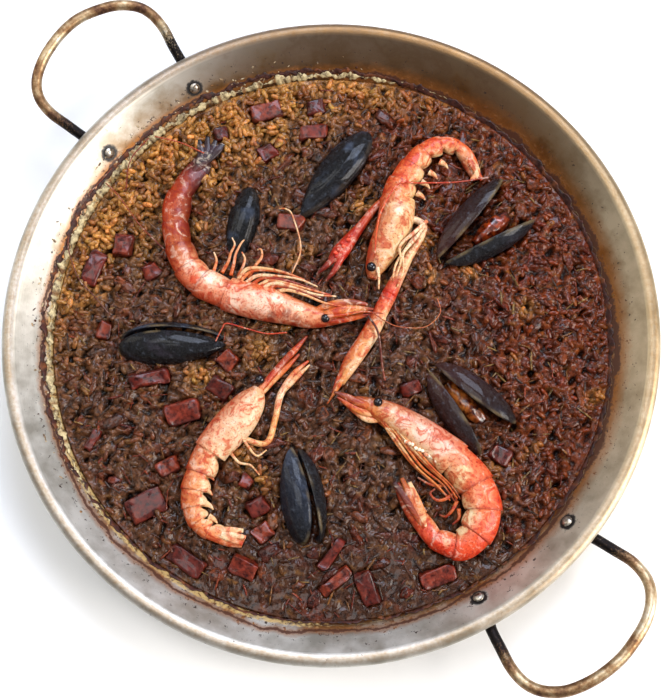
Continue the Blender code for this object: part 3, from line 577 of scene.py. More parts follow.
def rice_tone(x, y):
    """The grain's colour at a place, before its own chance shade."""
    flat = np.stack([x, y], -1)
    tone = mixed(linear("6a4228"), linear("6c2c09"), smooth(x + 0.4 * y, 30, 120))
    tone = mixed(tone, linear("b87e3c"), golden_share(x, y))
    near = smooth(-y, 60, 140)
    tone = mixed(tone, mixed(linear("503020"), linear("361806"), near), 0.8 * broth_share(x, y))
    tone = mixed(tone, linear("5c200e"), 0.6 * smooth(ripples(flat, 24, 6), 0.3, 1.3))
    tone = mixed(tone, linear("94642c"), 0.4 * smooth(ripples(flat, 9, 7), 0.7, 1.6))
    return tone * (1 + 0.16 * ripples(flat, 7, 8))[..., None]


CELL, NET_REACH = 3.7, 200.0


def fused(x, y):
    """Grains stewed into the mass: one lies in each 3.7 mm cell, as a half ellipsoid at a chance
    bearing, and a place takes the height and shade of the highest in the cells about it."""
    draw = np.random.default_rng(16)
    across = round(2 * NET_REACH / CELL)
    shift, turn = draw.uniform(0, 1, (2, across, across)), draw.uniform(0, math.pi, (across, across))
    long, wide = draw.uniform(6.0, 8.4, (across, across)) / 2, draw.uniform(3.2, 4.2, (across, across)) / 2
    lift, shade = draw.normal(0, 0.45, (across, across)), draw.uniform(0.72, 1.28, (across, across))
    column, row = ((p + NET_REACH) // CELL for p in (x, y))
    best, colour = np.full(x.shape, -1.0), np.full(x.shape, 0.6)
    for step in range(25):
        i = np.clip(column + step % 5 - 2, 0, across - 1).astype(int)
        j = np.clip(row + step // 5 - 2, 0, across - 1).astype(int)
        east = x + NET_REACH - (i + shift[0][i, j]) * CELL
        north = y + NET_REACH - (j + shift[1][i, j]) * CELL
        c, s = np.cos(turn[i, j]), np.sin(turn[i, j])
        u, v = (c * east + s * north) / long[i, j], (c * north - s * east) / wide[i, j]
        dome = 1 - u * u - v * v
        height = np.where(dome > 0, wide[i, j] * np.sqrt(np.maximum(dome, 0)) + lift[i, j] - 1, -1.0)
        colour = np.where(height > best, shade[i, j], colour)
        best = np.maximum(best, height)
    return best, colour


def bed_height(x, y):
    """The stewed mass that holds the grains: the rice's level, humps 6 to 22 mm wide and sharp pits,
    all calmer where broth stands over them."""
    flat = np.stack([x, y], -1)
    humps = 1.0 * ripples(flat, 22, 10) + 1.1 * ripples(flat, 10, 11) + 0.6 * ripples(flat, 5.6, 12)
    pits = 3.2 * smooth(ripples(flat, 12, 13), 0.75, 1.5) + 1.6 * smooth(ripples(flat, 7, 14), 0.85, 1.5)
    calm = 1 - 0.75 * smooth(broth_share(x, y), 0.5, 1)
    return rice_height(x, y) - 0.5 + (humps - pits) * calm + 0.5 * broth_share(x, y)


# Stewed mass between the grains: gelatinous stock with ink, brown-black and wet, so it glints.
toned_look(
    "reduced stock", {"Specular IOR Level": 0.2, "Coat Weight": 0.35, "Coat Roughness": 0.04, "IOR": 1.4},
    (330.0, 6.0, 0.65), (0.34, 0.56, "6b5040"), (0.14, 0.4), (0.7, 0.0012), 700.0,
)

# Cooked rice: starchy and translucent, with a wet film and a slightly lighter heart.
toned_look(
    "rice cooked in ink stock",
    {"Subsurface Weight": 0.12, "Subsurface Scale": 0.002, "IOR": 1.4, "Specular IOR Level": 0.3,
     "Coat Weight": 0.3, "Coat Roughness": 0.05},
    (420.0, 4.0, 0.6), (0.34, 0.62, "a08468"), (0.18, 0.42), (0.3, 0.0004),
)

CORE_SIDE, CLEARANCE, SKIRT_TOP = 296, 0.4, 21.0


def make_core():
    """The rice bed as one closed solid. Its top is a square net drawn out to a disc, so that its
    points stand evenly 1.2 mm apart: bed_height plus the fused grains, which are drowned where the
    broth stands, and lower under what lies on it. Its skirt follows the pan down to its base."""
    net = np.linspace(-1, 1, CORE_SIDE) + 1e-9
    u, v = np.meshgrid(net, net)
    level = np.abs(u) > np.abs(v)
    share = np.where(level, u, v)
    turn = math.pi / 4 * np.where(level, v / u, 2 - u / v)
    angle = np.arctan2(share * np.sin(turn), share * np.cos(turn))
    share = np.abs(share)
    rim = wall_radius(RICE_EDGE - RICE_EDGE_FALL * RICE_RADIUS * np.sin(angle), SHEET / 2 + CLEARANCE)
    x, y = share * rim * np.cos(angle), share * rim * np.sin(angle)
    flat = np.stack([x, y], -1)
    inward = smooth(-share, -1, -0.972)
    under_topping = covered(x.ravel(), y.ravel(), -3.0).reshape(x.shape)
    relief, shade = fused(x, y)
    grainy = np.clip(0.85 + 0.3 * ripples(flat, 16, 15) - 0.7 * broth_share(x, y), 0.15, 1.1)
    height = rice_height(x, y) + (bed_height(x, y) - rice_height(x, y) + grainy * relief) * inward
    top = np.stack([x, y, height - 2.5 * under_topping * inward], -1).reshape(-1, 3)
    # painted shade: the mass is darkened to a tenth where it lies 0.6 to 3.2 mm below the rice's level, in
    # its pits and hollows, and by 8 % elsewhere
    hollow_shade = 0.92 - 0.82 * smooth(rice_height(x, y) - height, 0.6, 3.2)
    tone = rice_tone(x, y) * (hollow_shade * (1 + (shade - 1) * grainy))[..., None]

    spot = np.arange(CORE_SIDE**2).reshape(CORE_SIDE, CORE_SIDE)
    border = np.concatenate([spot[0, :-1], spot[:-1, -1], spot[-1, :0:-1], spot[:0:-1, 0]])
    cells = np.stack([spot[:-1, :-1], spot[:-1, 1:], spot[1:, 1:], spot[1:, :-1]], -1).reshape(-1, 4)
    skirt = pan_section(SHEET / 2 + CLEARANCE)
    skirt = skirt[(skirt[:, 1] < SKIRT_TOP) & (skirt[:, 0] > FOOT_RADIUS - 1)][::-2]
    round_edge = angle.ravel()[border]
    out = np.stack([np.cos(round_edge), np.sin(round_edge)], -1)
    below = [np.column_stack([reach * out, np.full(len(out), z)]) for reach, z in skirt]
    rings = [border] + [len(top) + k * len(border) + np.arange(len(border)) for k in range(len(below))]
    sides = [np.stack([a, b, np.roll(b, -1), np.roll(a, -1)], -1) for a, b in zip(rings, rings[1:])]
    foot = len(top) + len(below) * len(border)
    base = np.stack([np.full(len(border), foot), np.roll(rings[-1], -1), rings[-1]], -1)
    points = np.concatenate([top, *below, [[0, 0, skirt[-1, 1]]]])
    hidden = np.broadcast_to(linear("3e1f0a"), (len(points) - len(top), 3))
    return points, [cells, *sides, base], np.concatenate([tone.reshape(-1, 3), hidden]), 0


def topping_tree(names):
    """A search tree over the CAD solids that lie on the rice."""
    points, faces = [], []
    for name in names:
        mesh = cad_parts[name].data
        start = len(points)
        points += [v.co.copy() for v in mesh.vertices]
        faces += [[start + v for v in p.vertices] for p in mesh.polygons]
    return BVHTree.FromPolygons(points, faces)


toppings = topping_tree(
    [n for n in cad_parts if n.startswith(("prawn", "langoustine", "mussel", "cuttlefish"))]
)
SKY = 90 * MM


def covered(x, y, margin):
    """Which places have a topping over them that stands margin or more above the rice."""
    spots = laid(np.stack([x, y, 0 * x], -1)) * MM
    level = (rice_height(x, y) + margin) * MM
    hits = [toppings.ray_cast(Vector((*spot[:2], SKY)), Vector((0, 0, -1)))[0] for spot in spots]
    return np.array([hit is not None and hit.z > z for hit, z in zip(hits, level)])


piece("rice_bed", [make_core()], ["reduced stock"], ["rice"])


BED_GRID, BED_REACH, BED_REACH_FALL = 190, 184, 0.02


def scattered(spacing, seed, reach, keep=None):
    """Places on the bed, one in each cell of a grid and moved by chance, that leave room for half a
    piece's reach before the wall."""
    draw = np.random.default_rng(seed)
    line = np.arange(-BED_GRID, BED_GRID, spacing)
    x, y = (g.ravel() + draw.uniform(-0.6, 0.6, g.size) * spacing for g in np.meshgrid(line, line))
    fits = np.hypot(x, y) < BED_REACH - BED_REACH_FALL * y - reach / 2
    x, y = x[fits], y[fits]
    if keep is not None:
        chosen = draw.uniform(size=len(x)) < keep(x, y)
        x, y = x[chosen], y[chosen]
    bare = ~covered(x, y, -1.0)
    return x[bare], y[bare], draw


def swung(points, axis, angle):
    """Points turned about X, Y or Z, axis 0, 1 or 2: of the two other axes, the first goes towards
    the second."""
    a, b = ((1, 2), (0, 2), (0, 1))[axis]
    c, s = np.cos(angle), np.sin(angle)
    made = np.array(points, float)
    made[..., a] = c * points[..., a] - s * points[..., b]
    made[..., b] = s * points[..., a] + c * points[..., b]
    return made


def copied(placed, faces, tones):
    """Copies of a small closed shape as one shell: placed is copies by points by 3."""
    n, size = placed.shape[:2]
    offset = (np.arange(n) * size)[:, None, None]
    copies = [(f[None] + offset).reshape(-1, f.shape[1]) for f in faces]
    return placed.reshape(-1, 3), copies, np.repeat(tones, size, 0), 0


def many(shape, x, y, z, size, draw, tones, tilt=0.35):
    """A small closed shape repeated: each copy is scaled by size, turned about a chance bearing and
    tilted a little, with its own colour. One shell."""
    points, faces = shape
    n = len(x)
    turn, lean, roll = draw.uniform(0, 2 * math.pi, n), draw.normal(0, tilt, n), draw.uniform(0, 6.3, n)
    local = points[None] * size[:, None]
    for axis, angle in ((0, roll), (1, lean), (2, turn)):
        local = swung(local, axis, angle[:, None])
    return copied(local + np.stack([x, y, z], -1)[:, None], faces, tones)


def bead(rings, sides, power, bend=0.0):
    """A closed grain of unit length: radius 0.5 (1 - |2u|^power)^0.5 along u, bent by bend u^2."""
    u = np.sin(np.linspace(-math.pi / 2, math.pi / 2, rings + 2)[1:-1]) / 2
    radius = 0.5 * np.sqrt(1 - np.abs(2 * u) ** power)
    angle = 2 * math.pi * np.arange(sides) / sides
    u, radius = u[:, None], radius[:, None]
    ring = np.stack([u + 0 * angle, radius * np.cos(angle) + bend * u**2, radius * np.sin(angle)], -1)
    points, faces, _, _ = closed(ring, np.ones(3))
    points[-2], points[-1] = (-0.5, bend / 4, 0), (0.5, bend / 4, 0)
    return points, faces


def make_grains(name, spacing, seed, lift, lengths, widths, shade, keep=None):
    """A layer of rice grains: its spacing, height over the bed, sizes and spread of shades."""
    x, y, draw = scattered(spacing, seed, lengths[1], keep)
    n = len(x)
    long, wide = draw.uniform(*lengths, n), draw.uniform(*widths, n)
    proud = 0.02 + 0.45 * golden_share(x, y) - 0.28 * broth_share(x, y)
    z = bed_height(x, y) + lift + proud * wide + draw.normal(0, 0.3, n)
    # painted shade: a grain lying 0.6 to 3.2 mm below the rice's level is darkened by up to 55 %
    sunk_shade = 1 - 0.55 * smooth(rice_height(x, y) - z, 0.6, 3.2)
    tones = rice_tone(x, y) * (draw.uniform(*shade, n) * sunk_shade)[:, None] * draw.normal(1, 0.06, (n, 3))
    size = np.stack([long, wide, wide * draw.uniform(0.8, 1, n)], -1)
    shell = many(bead(4, 6, 4.0, 0.25), x, y, z, size, draw, np.clip(tones, 0, 1))
    piece(name, [shell], ["rice cooked in ink stock"])


make_grains(
    "rice_grains_low", 5.0, 21, -0.5, (6.0, 8.2), (3.2, 4.0), (0.85, 1.15),
    lambda x, y: 0.22 + 0.6 * golden_share(x, y) + 0.12 * smooth(x, 80, 140),
)
make_grains(
    "rice_grains_top", 5.0, 22, 0.1, (6.2, 8.6), (3.2, 4.1), (0.8, 1.3),
    lambda x, y: 0.1 + 0.75 * golden_share(x, y) + 0.1 * smooth(x, 80, 140),
)
make_grains(
    "rice_grains_loose", 5.2, 23, 0.8, (6.0, 8.2), (3.1, 3.9), (0.9, 1.45),
    lambda x, y: 0.02 + 0.6 * golden_share(x, y),
)

# ---- sofrito ----
# Onion, red pepper and tomato, fried down to soft shreds and lumps before the rice went in. They
# cling to the grains and lie over the bed.

x, y, draw = scattered(6.0, 31, 16, lambda x, y: 0.6 - 0.5 * golden_share(x, y))
n = len(x)
# the grey kind, 4c3c34, is a painted reflection: it stands for glints of sky on the wet mass
kinds = np.array([linear(c) for c in ("6a2412", "34190f", "7a4e24", "4a2a1c", "7a3218", "8a6a3a", "4c3c34")])
tones = kinds[draw.integers(0, len(kinds), n)] * draw.uniform(0.6, 1.2, (n, 1))
size = np.stack([draw.uniform(4, 14, n), draw.uniform(0.7, 1.8, n), draw.uniform(0.6, 1.3, n)], -1)
height = bed_height(x, y) + draw.uniform(0.2, 1.4, n)
shreds = many(bead(4, 6, 3.0, 0.9), x, y, height, size, draw, tones, 0.12)
piece("sofrito_shreds", [shreds], ["reduced stock"])


def globe(rows, sides, shift=0.0):
    """Unit vectors on rings of latitude, without the poles."""
    lat = np.linspace(-math.pi / 2, math.pi / 2, rows + 2)[1:-1, None]
    lon = 2 * math.pi * (np.arange(sides) + shift) / sides
    return np.stack([np.cos(lat) * np.cos(lon), np.cos(lat) * np.sin(lon), np.sin(lat) + 0 * lon], -1)


def soft_lump(x, y, long, wide, high, turn, seed, tone):
    """A torn soft lump: an ellipsoid whose radius swells and shrinks by noise, set into the bed to its
    middle.
    """
    unit = globe(7, 12)
    swell = 1 + 0.30 * ripples(unit, 1.6, seed) + 0.16 * ripples(unit, 0.9, seed + 1)
    lump = swung(unit * swell[..., None] * (long / 2, wide / 2, high / 2), 2, turn)
    shades = mixed(tone, rice_tone(x, y), 0.4) * (0.85 + 0.3 * ripples(unit, 0.9, seed + 2))[..., None]
    return closed(lump + (x, y, bed_height(x, y) + 0.2), np.clip(shades, 0, 1))


x, y, draw = scattered(15.0, 33, 24, lambda x, y: 0.7 - 0.5 * golden_share(x, y))
kinds = np.array([linear(c) for c in ("6e2210", "561a10", "4a2014", "7a3a1a", "642813", "40241a")])
lumps = [
    soft_lump(px, py, draw.uniform(7, 16), draw.uniform(4, 9), draw.uniform(2.6, 3.8), draw.uniform(0, 6.3),
              100 + 3 * k, kinds[draw.integers(0, len(kinds))])
    for k, (px, py) in enumerate(zip(x, y))
]
piece("sofrito_lumps", lumps, ["reduced stock"])

# ---- the tide line ----
# Stock boiled up the wall and dried there: a dark crust over the rice, which on the left climbs
# over a pale band of starch, and starchy flakes, thickest on the left.

toned_look(
    "baked-on stock", {"IOR": 1.45}, (330.0, 5.0, 0.7), (0.35, 0.6, "5b4a40"), (0.3, 0.75), (0.8, 0.0008)
)

CRUST_TURNS, CRUST_SIDES = 900, 8
# how far the rice's edge falls towards the far side, how deep the crust starts and how high the
# flakes reach
EDGE_DROP, CRUST_SINK, FLAKE_REACH = 2.0, 1.2, 12


def wall_band(centre, half, thick, tone):
    """A closed ragged ring that lies on the wall. For each bearing it is given how far up the wall
    from the rice its middle stands, its half-height, its thickness and its colour."""
    angle = 2 * math.pi * np.arange(CRUST_TURNS) / CRUST_TURNS
    spin = 2 * math.pi * np.arange(CRUST_SIDES) / CRUST_SIDES
    up = centre[:, None] + half[:, None] * np.sin(spin)
    off = 0.1 + thick[:, None] * (0.5 + 0.5 * np.cos(spin))
    foot = RICE_EDGE - EDGE_DROP * np.sin(angle)[:, None] - CRUST_SINK
    z = foot + up * math.sin(WALL_SLOPE) + off * math.cos(WALL_SLOPE)
    r = wall_radius(z, SHEET / 2) - off / math.sin(WALL_SLOPE)
    rings = np.stack([r * np.cos(angle)[:, None], r * np.sin(angle)[:, None], z], -1)
    here = np.arange(CRUST_TURNS * CRUST_SIDES).reshape(CRUST_TURNS, CRUST_SIDES)
    beside, ahead = np.roll(here, -1, 1), np.roll(here, -1, 0)
    quads = np.stack([here, ahead, np.roll(ahead, -1, 1), beside], -1).reshape(-1, 4)
    return rings.reshape(-1, 3), [quads], np.repeat(tone, CRUST_SIDES, 0), 0


bearing = 2 * math.pi * np.arange(CRUST_TURNS) / CRUST_TURNS
right_side = smooth(np.cos(bearing - math.radians(20)), 0.2, 1)
left_side = smooth(np.cos(bearing - math.radians(146)), 0.0, 0.75)


def waves(size, seed):
    """Noise round the pan, a value for each bearing, with waves of about size mm."""
    return ripples(185 * np.stack([np.cos(bearing), np.sin(bearing)], -1), size, seed)


crust = wall_band(
    1.6 + 7.0 * left_side + 1.1 * waves(21, 41) + 0.6 * waves(6, 42),
    np.clip(1.3 + 0.6 * waves(13, 43) + 0.6 * waves(4, 44) + 1.3 * right_side, 0.3, 4),
    np.clip(0.5 + 0.25 * waves(5, 45), 0.15, 1.0),
    mixed(linear("42180b"), linear("7a4018"), smooth(waves(9, 46), 0, 1.4)),
)
starch = wall_band(
    4.2 + 0.9 * waves(10, 48),
    np.clip((2.1 + 1.4 * waves(11, 49) + 1.2 * waves(3.8, 50)) * left_side, 0.05, 4.2),
    np.clip((1.0 + 0.6 * waves(4.5, 51)) * left_side, 0.05, 1.9),
    mixed(linear("d2bf90"), linear("8a5a26"), smooth(waves(5, 52) + 0.6 * waves(17, 53), 0.1, 1.5)),
)


def make_flakes(count, seed):
    """Thin flakes of dried starch on the wall, up to 12 mm over the rice, thickest at the left."""
    draw = np.random.default_rng(seed)
    angle = draw.uniform(0, 2 * math.pi, count)
    thickest = smooth(np.cos(angle - math.radians(155)), -0.4, 0.9)
    kept = draw.uniform(size=count) < 0.02 + 0.9 * thickest**3
    angle, thickest = angle[kept], thickest[kept]
    n = len(angle)
    over = 1.5 + draw.exponential(2.2, n) * (0.6 + thickest)
    z = RICE_EDGE - EDGE_DROP * np.sin(angle) + np.minimum(over, FLAKE_REACH)
    r = wall_radius(z, SHEET / 2) - 0.15
    pale = mixed(linear("8a5c26"), linear("e4d3ae"), draw.uniform(0, 1, n) * thickest)
    tones = mixed(pale, linear("4a2412"), draw.uniform(size=n) > 0.85)
    points, faces = bead(3, 6, 3.0)
    size = np.stack([draw.uniform(0.6, 3.6, n), draw.uniform(0.5, 1.8, n), np.full(n, 0.5)], -1)
    local = swung(points[None] * size[:, None], 2, draw.normal(0, 0.9, n)[:, None])
    level, up, off = (local[..., k] for k in range(3))
    outward = r[:, None] + UP_WALL[0] * up + OFF_WALL[0] * off
    rise = z[:, None] + UP_WALL[1] * up + OFF_WALL[1] * off
    return copied(swung(np.stack([outward, level, rise], -1), 2, angle[:, None]), faces, tones)


piece("tide_crust", [crust, starch], ["baked-on stock"])
piece("starch_flakes", [make_flakes(1100, 47)], ["baked-on stock"])

# ---- prawns and langoustines ----
# Whole animals laid on their sides in the rice and cooked in its steam. Horny shell in plates that
# overlap like tiles, each plate's rear edge over the next one's front; legs, scales and feelers
# come off the head end. Cooking turns the shell coral, and the flame chars what sticks out.

tree, shader = new_look(
    "cooked shell",
    {"Subsurface Weight": 0.15, "Subsurface Scale": 0.002, "IOR": 1.45, "Specular IOR Level": 0.35,
     "Coat Weight": 0.2, "Coat Roughness": 0.08},
)
tone = node(tree, "Attribute", {}, out="Color", attribute_name="tone")
shell = node(tree, "TexCoord", out="Object")
# pigment gathers in torn streaks of 8 mm, in blots of 3 mm and in dots under 1 mm; between them
# the shell has bleached
blots = node(tree, "TexNoise", {"Vector": shell, "Scale": 130.0, "Detail": 7.0, "Roughness": 0.62,
                                "Distortion": 1.4})
blot_share = node(tree, "MapRange", {"Value": blots, "From Min": 0.5, "From Max": 0.6, "To Max": 0.85})
dots = node(tree, "TexNoise", {"Vector": shell, "Scale": 800.0, "Detail": 2.0})
dot_share = node(tree, "MapRange", {"Value": dots, "From Min": 0.58, "From Max": 0.66, "To Max": 0.6})
pale_share = node(tree, "MapRange", {"Value": blots, "From Min": 0.45, "From Max": 0.36, "To Max": 0.35})
coral = node(tree, "Mix", {"Factor": blot_share, "A": tone, "B": "d9764c"}, data_type="RGBA",
             blend_type="MULTIPLY")
bleached = node(tree, "Mix", {"Factor": pale_share, "A": coral, "B": "f2dcc4"}, data_type="RGBA")
dotted = node(tree, "Mix", {"Factor": dot_share, "A": bleached, "B": "a3502c"}, data_type="RGBA",
              blend_type="MULTIPLY")
gloss = node(tree, "MapRange", {"Value": blots, "From Min": 0.3, "From Max": 0.7, "To Min": 0.3,
                                "To Max": 0.55})
pores = node(tree, "Math", {0: blots, 1: 1.5, 2: dots}, operation="MULTIPLY_ADD")
bumps = node(tree, "Bump", {"Strength": 0.35, "Distance": 0.0006, "Height": pores}, out="Normal")
wire(tree, shader, Base_Color=dotted, Roughness=gloss, Normal=bumps)

# Eyes: black horny domes, glossy.
tree, shader = new_look("shellfish eye", {"Roughness": 0.12, "IOR": 1.5})
shell = node(tree, "TexCoord", out="Object")
facets = node(tree, "TexNoise", {"Vector": shell, "Scale": 1500.0})
black = node(tree, "ValToRGB", {"Fac": facets}, stops=((0.3, "070507"), (0.7, "1e1417")))
wire(tree, shader, Base_Color=black)


# steam and stock have dyed every shell a little warmer than its pigment
COOKED = np.array([0.87, 0.70, 0.55])


def spread(colours, keys, at):
    """Linear colours read at places between hex colours that stand at the keys."""
    table = np.array([linear(c) for c in colours])
    return np.stack([np.interp(at, keys, table[:, channel]) for channel in range(3)], -1)


def paint(at, side, table):
    """Colours of a ring surface. A row of the table gives the back's, flank's and belly's colour at
    a station; side is 1 at the back, 0 on the flank and -1 at the belly."""
    keys = [row[0] for row in table]
    back, flank, belly = (spread([row[part] for row in table], keys, at)[:, None] for part in (1, 2, 3))
    end = np.where(side[..., None] > 0, back, belly)
    return COOKED * (flank + (end - flank) * np.abs(side)[..., None] ** 1.2)


def oval_rings(read, at, wide, thick, angle):
    """Rings about a path: its places, plus wide cos a level across it and thick sin a upright."""
    run = np.gradient(read[:, :2], at, axis=0)
    run /= np.maximum(np.linalg.norm(run, axis=1), 1e-6)[:, None]
    across = np.stack([-run[:, 1], run[:, 0], 0 * at], 1)
    level = (wide * np.cos(angle))[..., None] * across[:, None]
    return read[:, None, :3] + level + (thick * np.sin(angle))[..., None] * np.array([0, 0, 1.0])


def tube(stations, rows, sides, colours, wear=0):
    """A closed tube of oval rings along the stations (x, y, z, width, thickness), 0.3 mm across or
    more. colours are hex values spread along it."""
    at = np.linspace(0, len(stations) - 1, rows)
    read = along(stations, at)
    angle = 2 * math.pi * (np.arange(sides) + 0.5) / sides
    wide, thick = (np.maximum(read[:, k, None], 0.3) / 2 for k in (3, 4))
    tone = COOKED * spread(colours, np.linspace(0, 1, len(colours)), np.linspace(0, 1, rows))
    return closed(oval_rings(read, at, wide, thick, angle), tone[:, None], wear)


def ball(centre, radius, colour, wear):
    """A small sphere, a little flattened."""
    return closed(np.asarray(centre) + radius * globe(10, 16) * (1, 1, 0.85), linear(colour), wear)


BODY_ROWS, BODY_SIDES, TAPER = 240, 48, 0.10


def plated_body(stations, ends, side_sign, table, notch, patches, point=0.5):
    """A shellfish's body on its stations. ends are the station numbers of the plates' edges, tail
    first. Within a plate q runs from 0 at its rear edge to 1, and the ring narrows by a tenth of q,
    so that each rear edge stands over the next plate; its belly edge is cut back between plates by
    notch, and is longest where q is point. patches are (x, y, radius, hex, share) blots."""
    last = len(stations) - 1
    near = [e + d for e in ends for d in (-0.035, -0.004, 0.004, 0.05)]
    at = np.unique(np.clip(np.concatenate([np.linspace(0, last, BODY_ROWS), near]), 0, last))
    read = along(stations, at)
    angle = 2 * math.pi * (np.arange(BODY_SIDES) + 0.5) / BODY_SIDES
    side = side_sign * np.cos(angle)[None] + 0 * at[:, None]
    number = np.clip(np.searchsorted(ends, at, side="right") - 1, 0, len(ends) - 2)
    plates = np.array(ends)
    q = np.clip((at - plates[number]) / (plates[number + 1] - plates[number]), 0, 1)
    tailed = ((at >= ends[0]) & (at < ends[-1])).astype(float)
    lobe = np.clip(1 - (np.abs(q - point) / 0.55) ** 2, 0, 1) ** 0.5
    belly = np.clip(-side, 0, 1) ** 3
    swell = 1 - TAPER * (q * tailed)[:, None] - notch * ((1 - lobe) * tailed)[:, None] * belly
    swell *= 1 - 0.05 * smooth(at, ends[-1] + 0.05, ends[-1] + 0.8)[:, None]
    wide, thick = read[:, 3, None] / 2 * swell, read[:, 4, None] / 2 * (0.35 + 0.65 * swell)
    rings = oval_rings(read, at, wide, thick, angle)
    rings[..., 2] += 0.25 * ripples(rings, 11, 51) + 0.12 * ripples(rings, 4, 52)
    tone = paint(at, side, table)
    for x, y, radius, colour, share in patches:
        gone = np.hypot(rings[..., 0] - x, rings[..., 1] - y) + 0.18 * radius * ripples(rings, 5, 53)
        within = smooth(-gone, -radius, -0.55 * radius) * (np.sin(angle) > -0.2)
        tone = mixed(tone, COOKED * linear(colour), share * within)
    seam = np.exp(-((q / 0.07) ** 2)) * tailed
    return closed(rings, mixed(tone, linear("7c1d0c"), 0.6 * seam[:, None] + 0 * side))


PRAWN_1 = (
    (-87, 122, 26, 9, 4), (-92, 111, 26, 16, 6), (-100, 98, 28, 17, 12), (-104.5, 83, 29, 20, 15),
    (-104, 67, 29, 19, 16), (-100.5, 53.5, 29, 20, 17), (-94, 41, 29.5, 21, 18), (-85, 32, 30, 22, 19),
    (-73, 26, 30, 22, 20), (-60, 21.5, 31, 24, 21), (-43, 18, 31, 25, 21), (-27, 13.5, 31, 20, 18),
    (-12.5, 9.5, 31, 16, 14), (-2, 8.5, 32, 11, 10), (10, 9.5, 33, 7, 5), (21.5, 11.5, 34, 3, 3),
)
PRAWN_2 = (
    (45, -97, 27, 5, 4), (54, -110, 27, 12, 6), (62.5, -122, 27, 13, 8), (68, -129, 28, 14, 11),
    (75, -133, 29, 16, 13), (86, -134.5, 30, 20, 16), (95.5, -125, 31, 24, 18), (99, -111, 31, 25, 20),
    (93.5, -96, 31, 26, 21), (81, -82, 31, 26, 21), (67.5, -71.5, 31, 25, 20), (54, -62, 31, 22, 19),
    (39, -53.5, 31, 18, 15), (27, -48.5, 32, 12, 10), (18, -46, 33, 8, 6), (11, -45, 34, 3, 3),
)
LANGOUSTINE_1 = (
    (95.5, 108, 27, 6, 4), (91.5, 117, 27, 10, 6), (86, 126, 28, 11, 8), (78, 130.5, 28, 12, 10),
    (68, 129.5, 29, 14, 12), (58.5, 123, 29, 16, 14), (52, 113.5, 30, 19, 16), (46, 103, 30, 21, 17),
    (42.5, 93, 30, 23, 19), (42, 82.5, 31, 25, 20), (39.5, 69, 31, 25, 20), (33.5, 56, 31, 21, 18),
    (28.5, 44, 31, 14, 12), (26.5, 36, 31, 6, 6),
)
LANGOUSTINE_2 = (
    (-51, -137, 26, 6, 4), (-59, -134, 27, 11, 6), (-67.5, -131, 28, 12, 8), (-74, -128.5, 28, 13, 11),
    (-79.5, -123, 29, 15, 13), (-82.5, -114.5, 29, 17, 14), (-82.5, -105, 30, 19, 15),
    (-80, -95, 30, 20, 17), (-76.5, -85, 30, 21, 18), (-72, -77, 31, 23, 19), (-64, -67, 31, 26, 20),
    (-55.5, -56.5, 31, 25, 20), (-48.5, -46, 31, 19, 16), (-44.5, -38.5, 31, 8, 8),
)
SHELL_LOOKS = ["cooked shell", "shellfish eye"]
CREAM, BONE, ORANGE, RUST, CHAR = "ecd9b6", "f3e6cf", "cf6a2c", "9c3a18", "2a1a20"


def strands(paths, width, tones, joints=0.0):
    """Thin limbs through points (x, y, z), each narrowing from width to two fifths of it, with every
    other point thickened by joints."""
    made = []
    for k, path in enumerate(paths):
        n = len(path)
        fat = [width * (1 - 0.62 * i / (n - 1)) * (1 + joints * ((i + k) % 2)) for i in range(n)]
        rows = [(*p, w, 0.85 * w) for p, w in zip(path, fat)]
        made.append(tube(rows, 8 * n, 8, tones[k % len(tones)]))
    return made


def between(first, last, count, bow, seed):
    """Paths fanned between two given ones, unevenly: each is lifted by up to bow at its middle, bent
    a millimetre or two and cut short by chance, as legs fall."""
    draw = np.random.default_rng(seed)
    a, b = np.array(first, float), np.array(last, float)
    lift = np.sin(np.linspace(0, math.pi, len(a)))
    fanned = []
    for share in np.linspace(0, 1, count) + draw.normal(0, 0.06, count):
        path = a + (b - a) * share
        path[:, 2] += draw.uniform(0.2, 1) * bow * lift
        path[:, :2] += draw.normal(0, 1.1, (len(a), 2)) * np.linspace(0.2, 1, len(a))[:, None]
        ends = np.linspace(0, (len(a) - 1) * draw.uniform(0.72, 1), len(a))
        fanned.append(along(path, ends).tolist())
    return fanned


# prawn 1: charred tail, red to rust along the back, bleached shoulders and a bright head
body = plated_body(
    PRAWN_1, [1.0, 2.4, 3.7, 4.8, 5.9, 7.0, 8.4], -1,
    (
        (0, CHAR, "3c2228", "2a1a20"), (1.2, "5e1c14", "6b2418", "3a1518"),
        (2.2, "a83206", "a8440c", "5a1c0a"), (3.4, "c03c08", "b65210", "6e260a"),
        (5.0, "bc420c", "b05a18", "82381a"), (6.2, "d4572a", "e39a78", "dba27c"),
        (7.6, "dd5c30", "eebda4", "f0cdb0"), (8.4, "d9532c", "e8a184", "e8b48c"),
        (9.4, "dc8464", "f0cfc0", "e9bf9c"), (11, "cf7a5c", "efc9b4", "d9783e"),
        (12.5, "b9603c", "e2a27a", "d07a3a"), (13.5, "a04a24", "c9652c", "c9702f"),
        (15, "a04820", "b5591f", "b5591f"),
    ),
    0.22,
    (
        (-93, 40, 5.5, "f6e3da", 0.9), (-80, 33, 6.5, "f8ebe4", 0.9), (-88, 31, 4, "e0552a", 0.8),
        (-71, 30, 4.5, "f6ead8", 0.9), (-57, 28, 5, "d8622a", 0.9), (-48, 27, 5, "dd6c34", 0.9),
        (-38, 25, 4, "dc6a35", 0.8), (-62, 16, 7, "f4ddd4", 0.8), (-45, 14, 7, "f5e2da", 0.85),
        (-35, 19, 5, "f8efe8", 0.8), (-28, 10, 4, "7a2a22", 0.6), (-38, 7.5, 3.5, "6e2a26", 0.6),
        (-22, 6, 4, "8c3c28", 0.6), (-19, 12, 3.5, "f2e3cc", 0.7), (-103, 78, 5, "7c2312", 0.5),
    ),
)
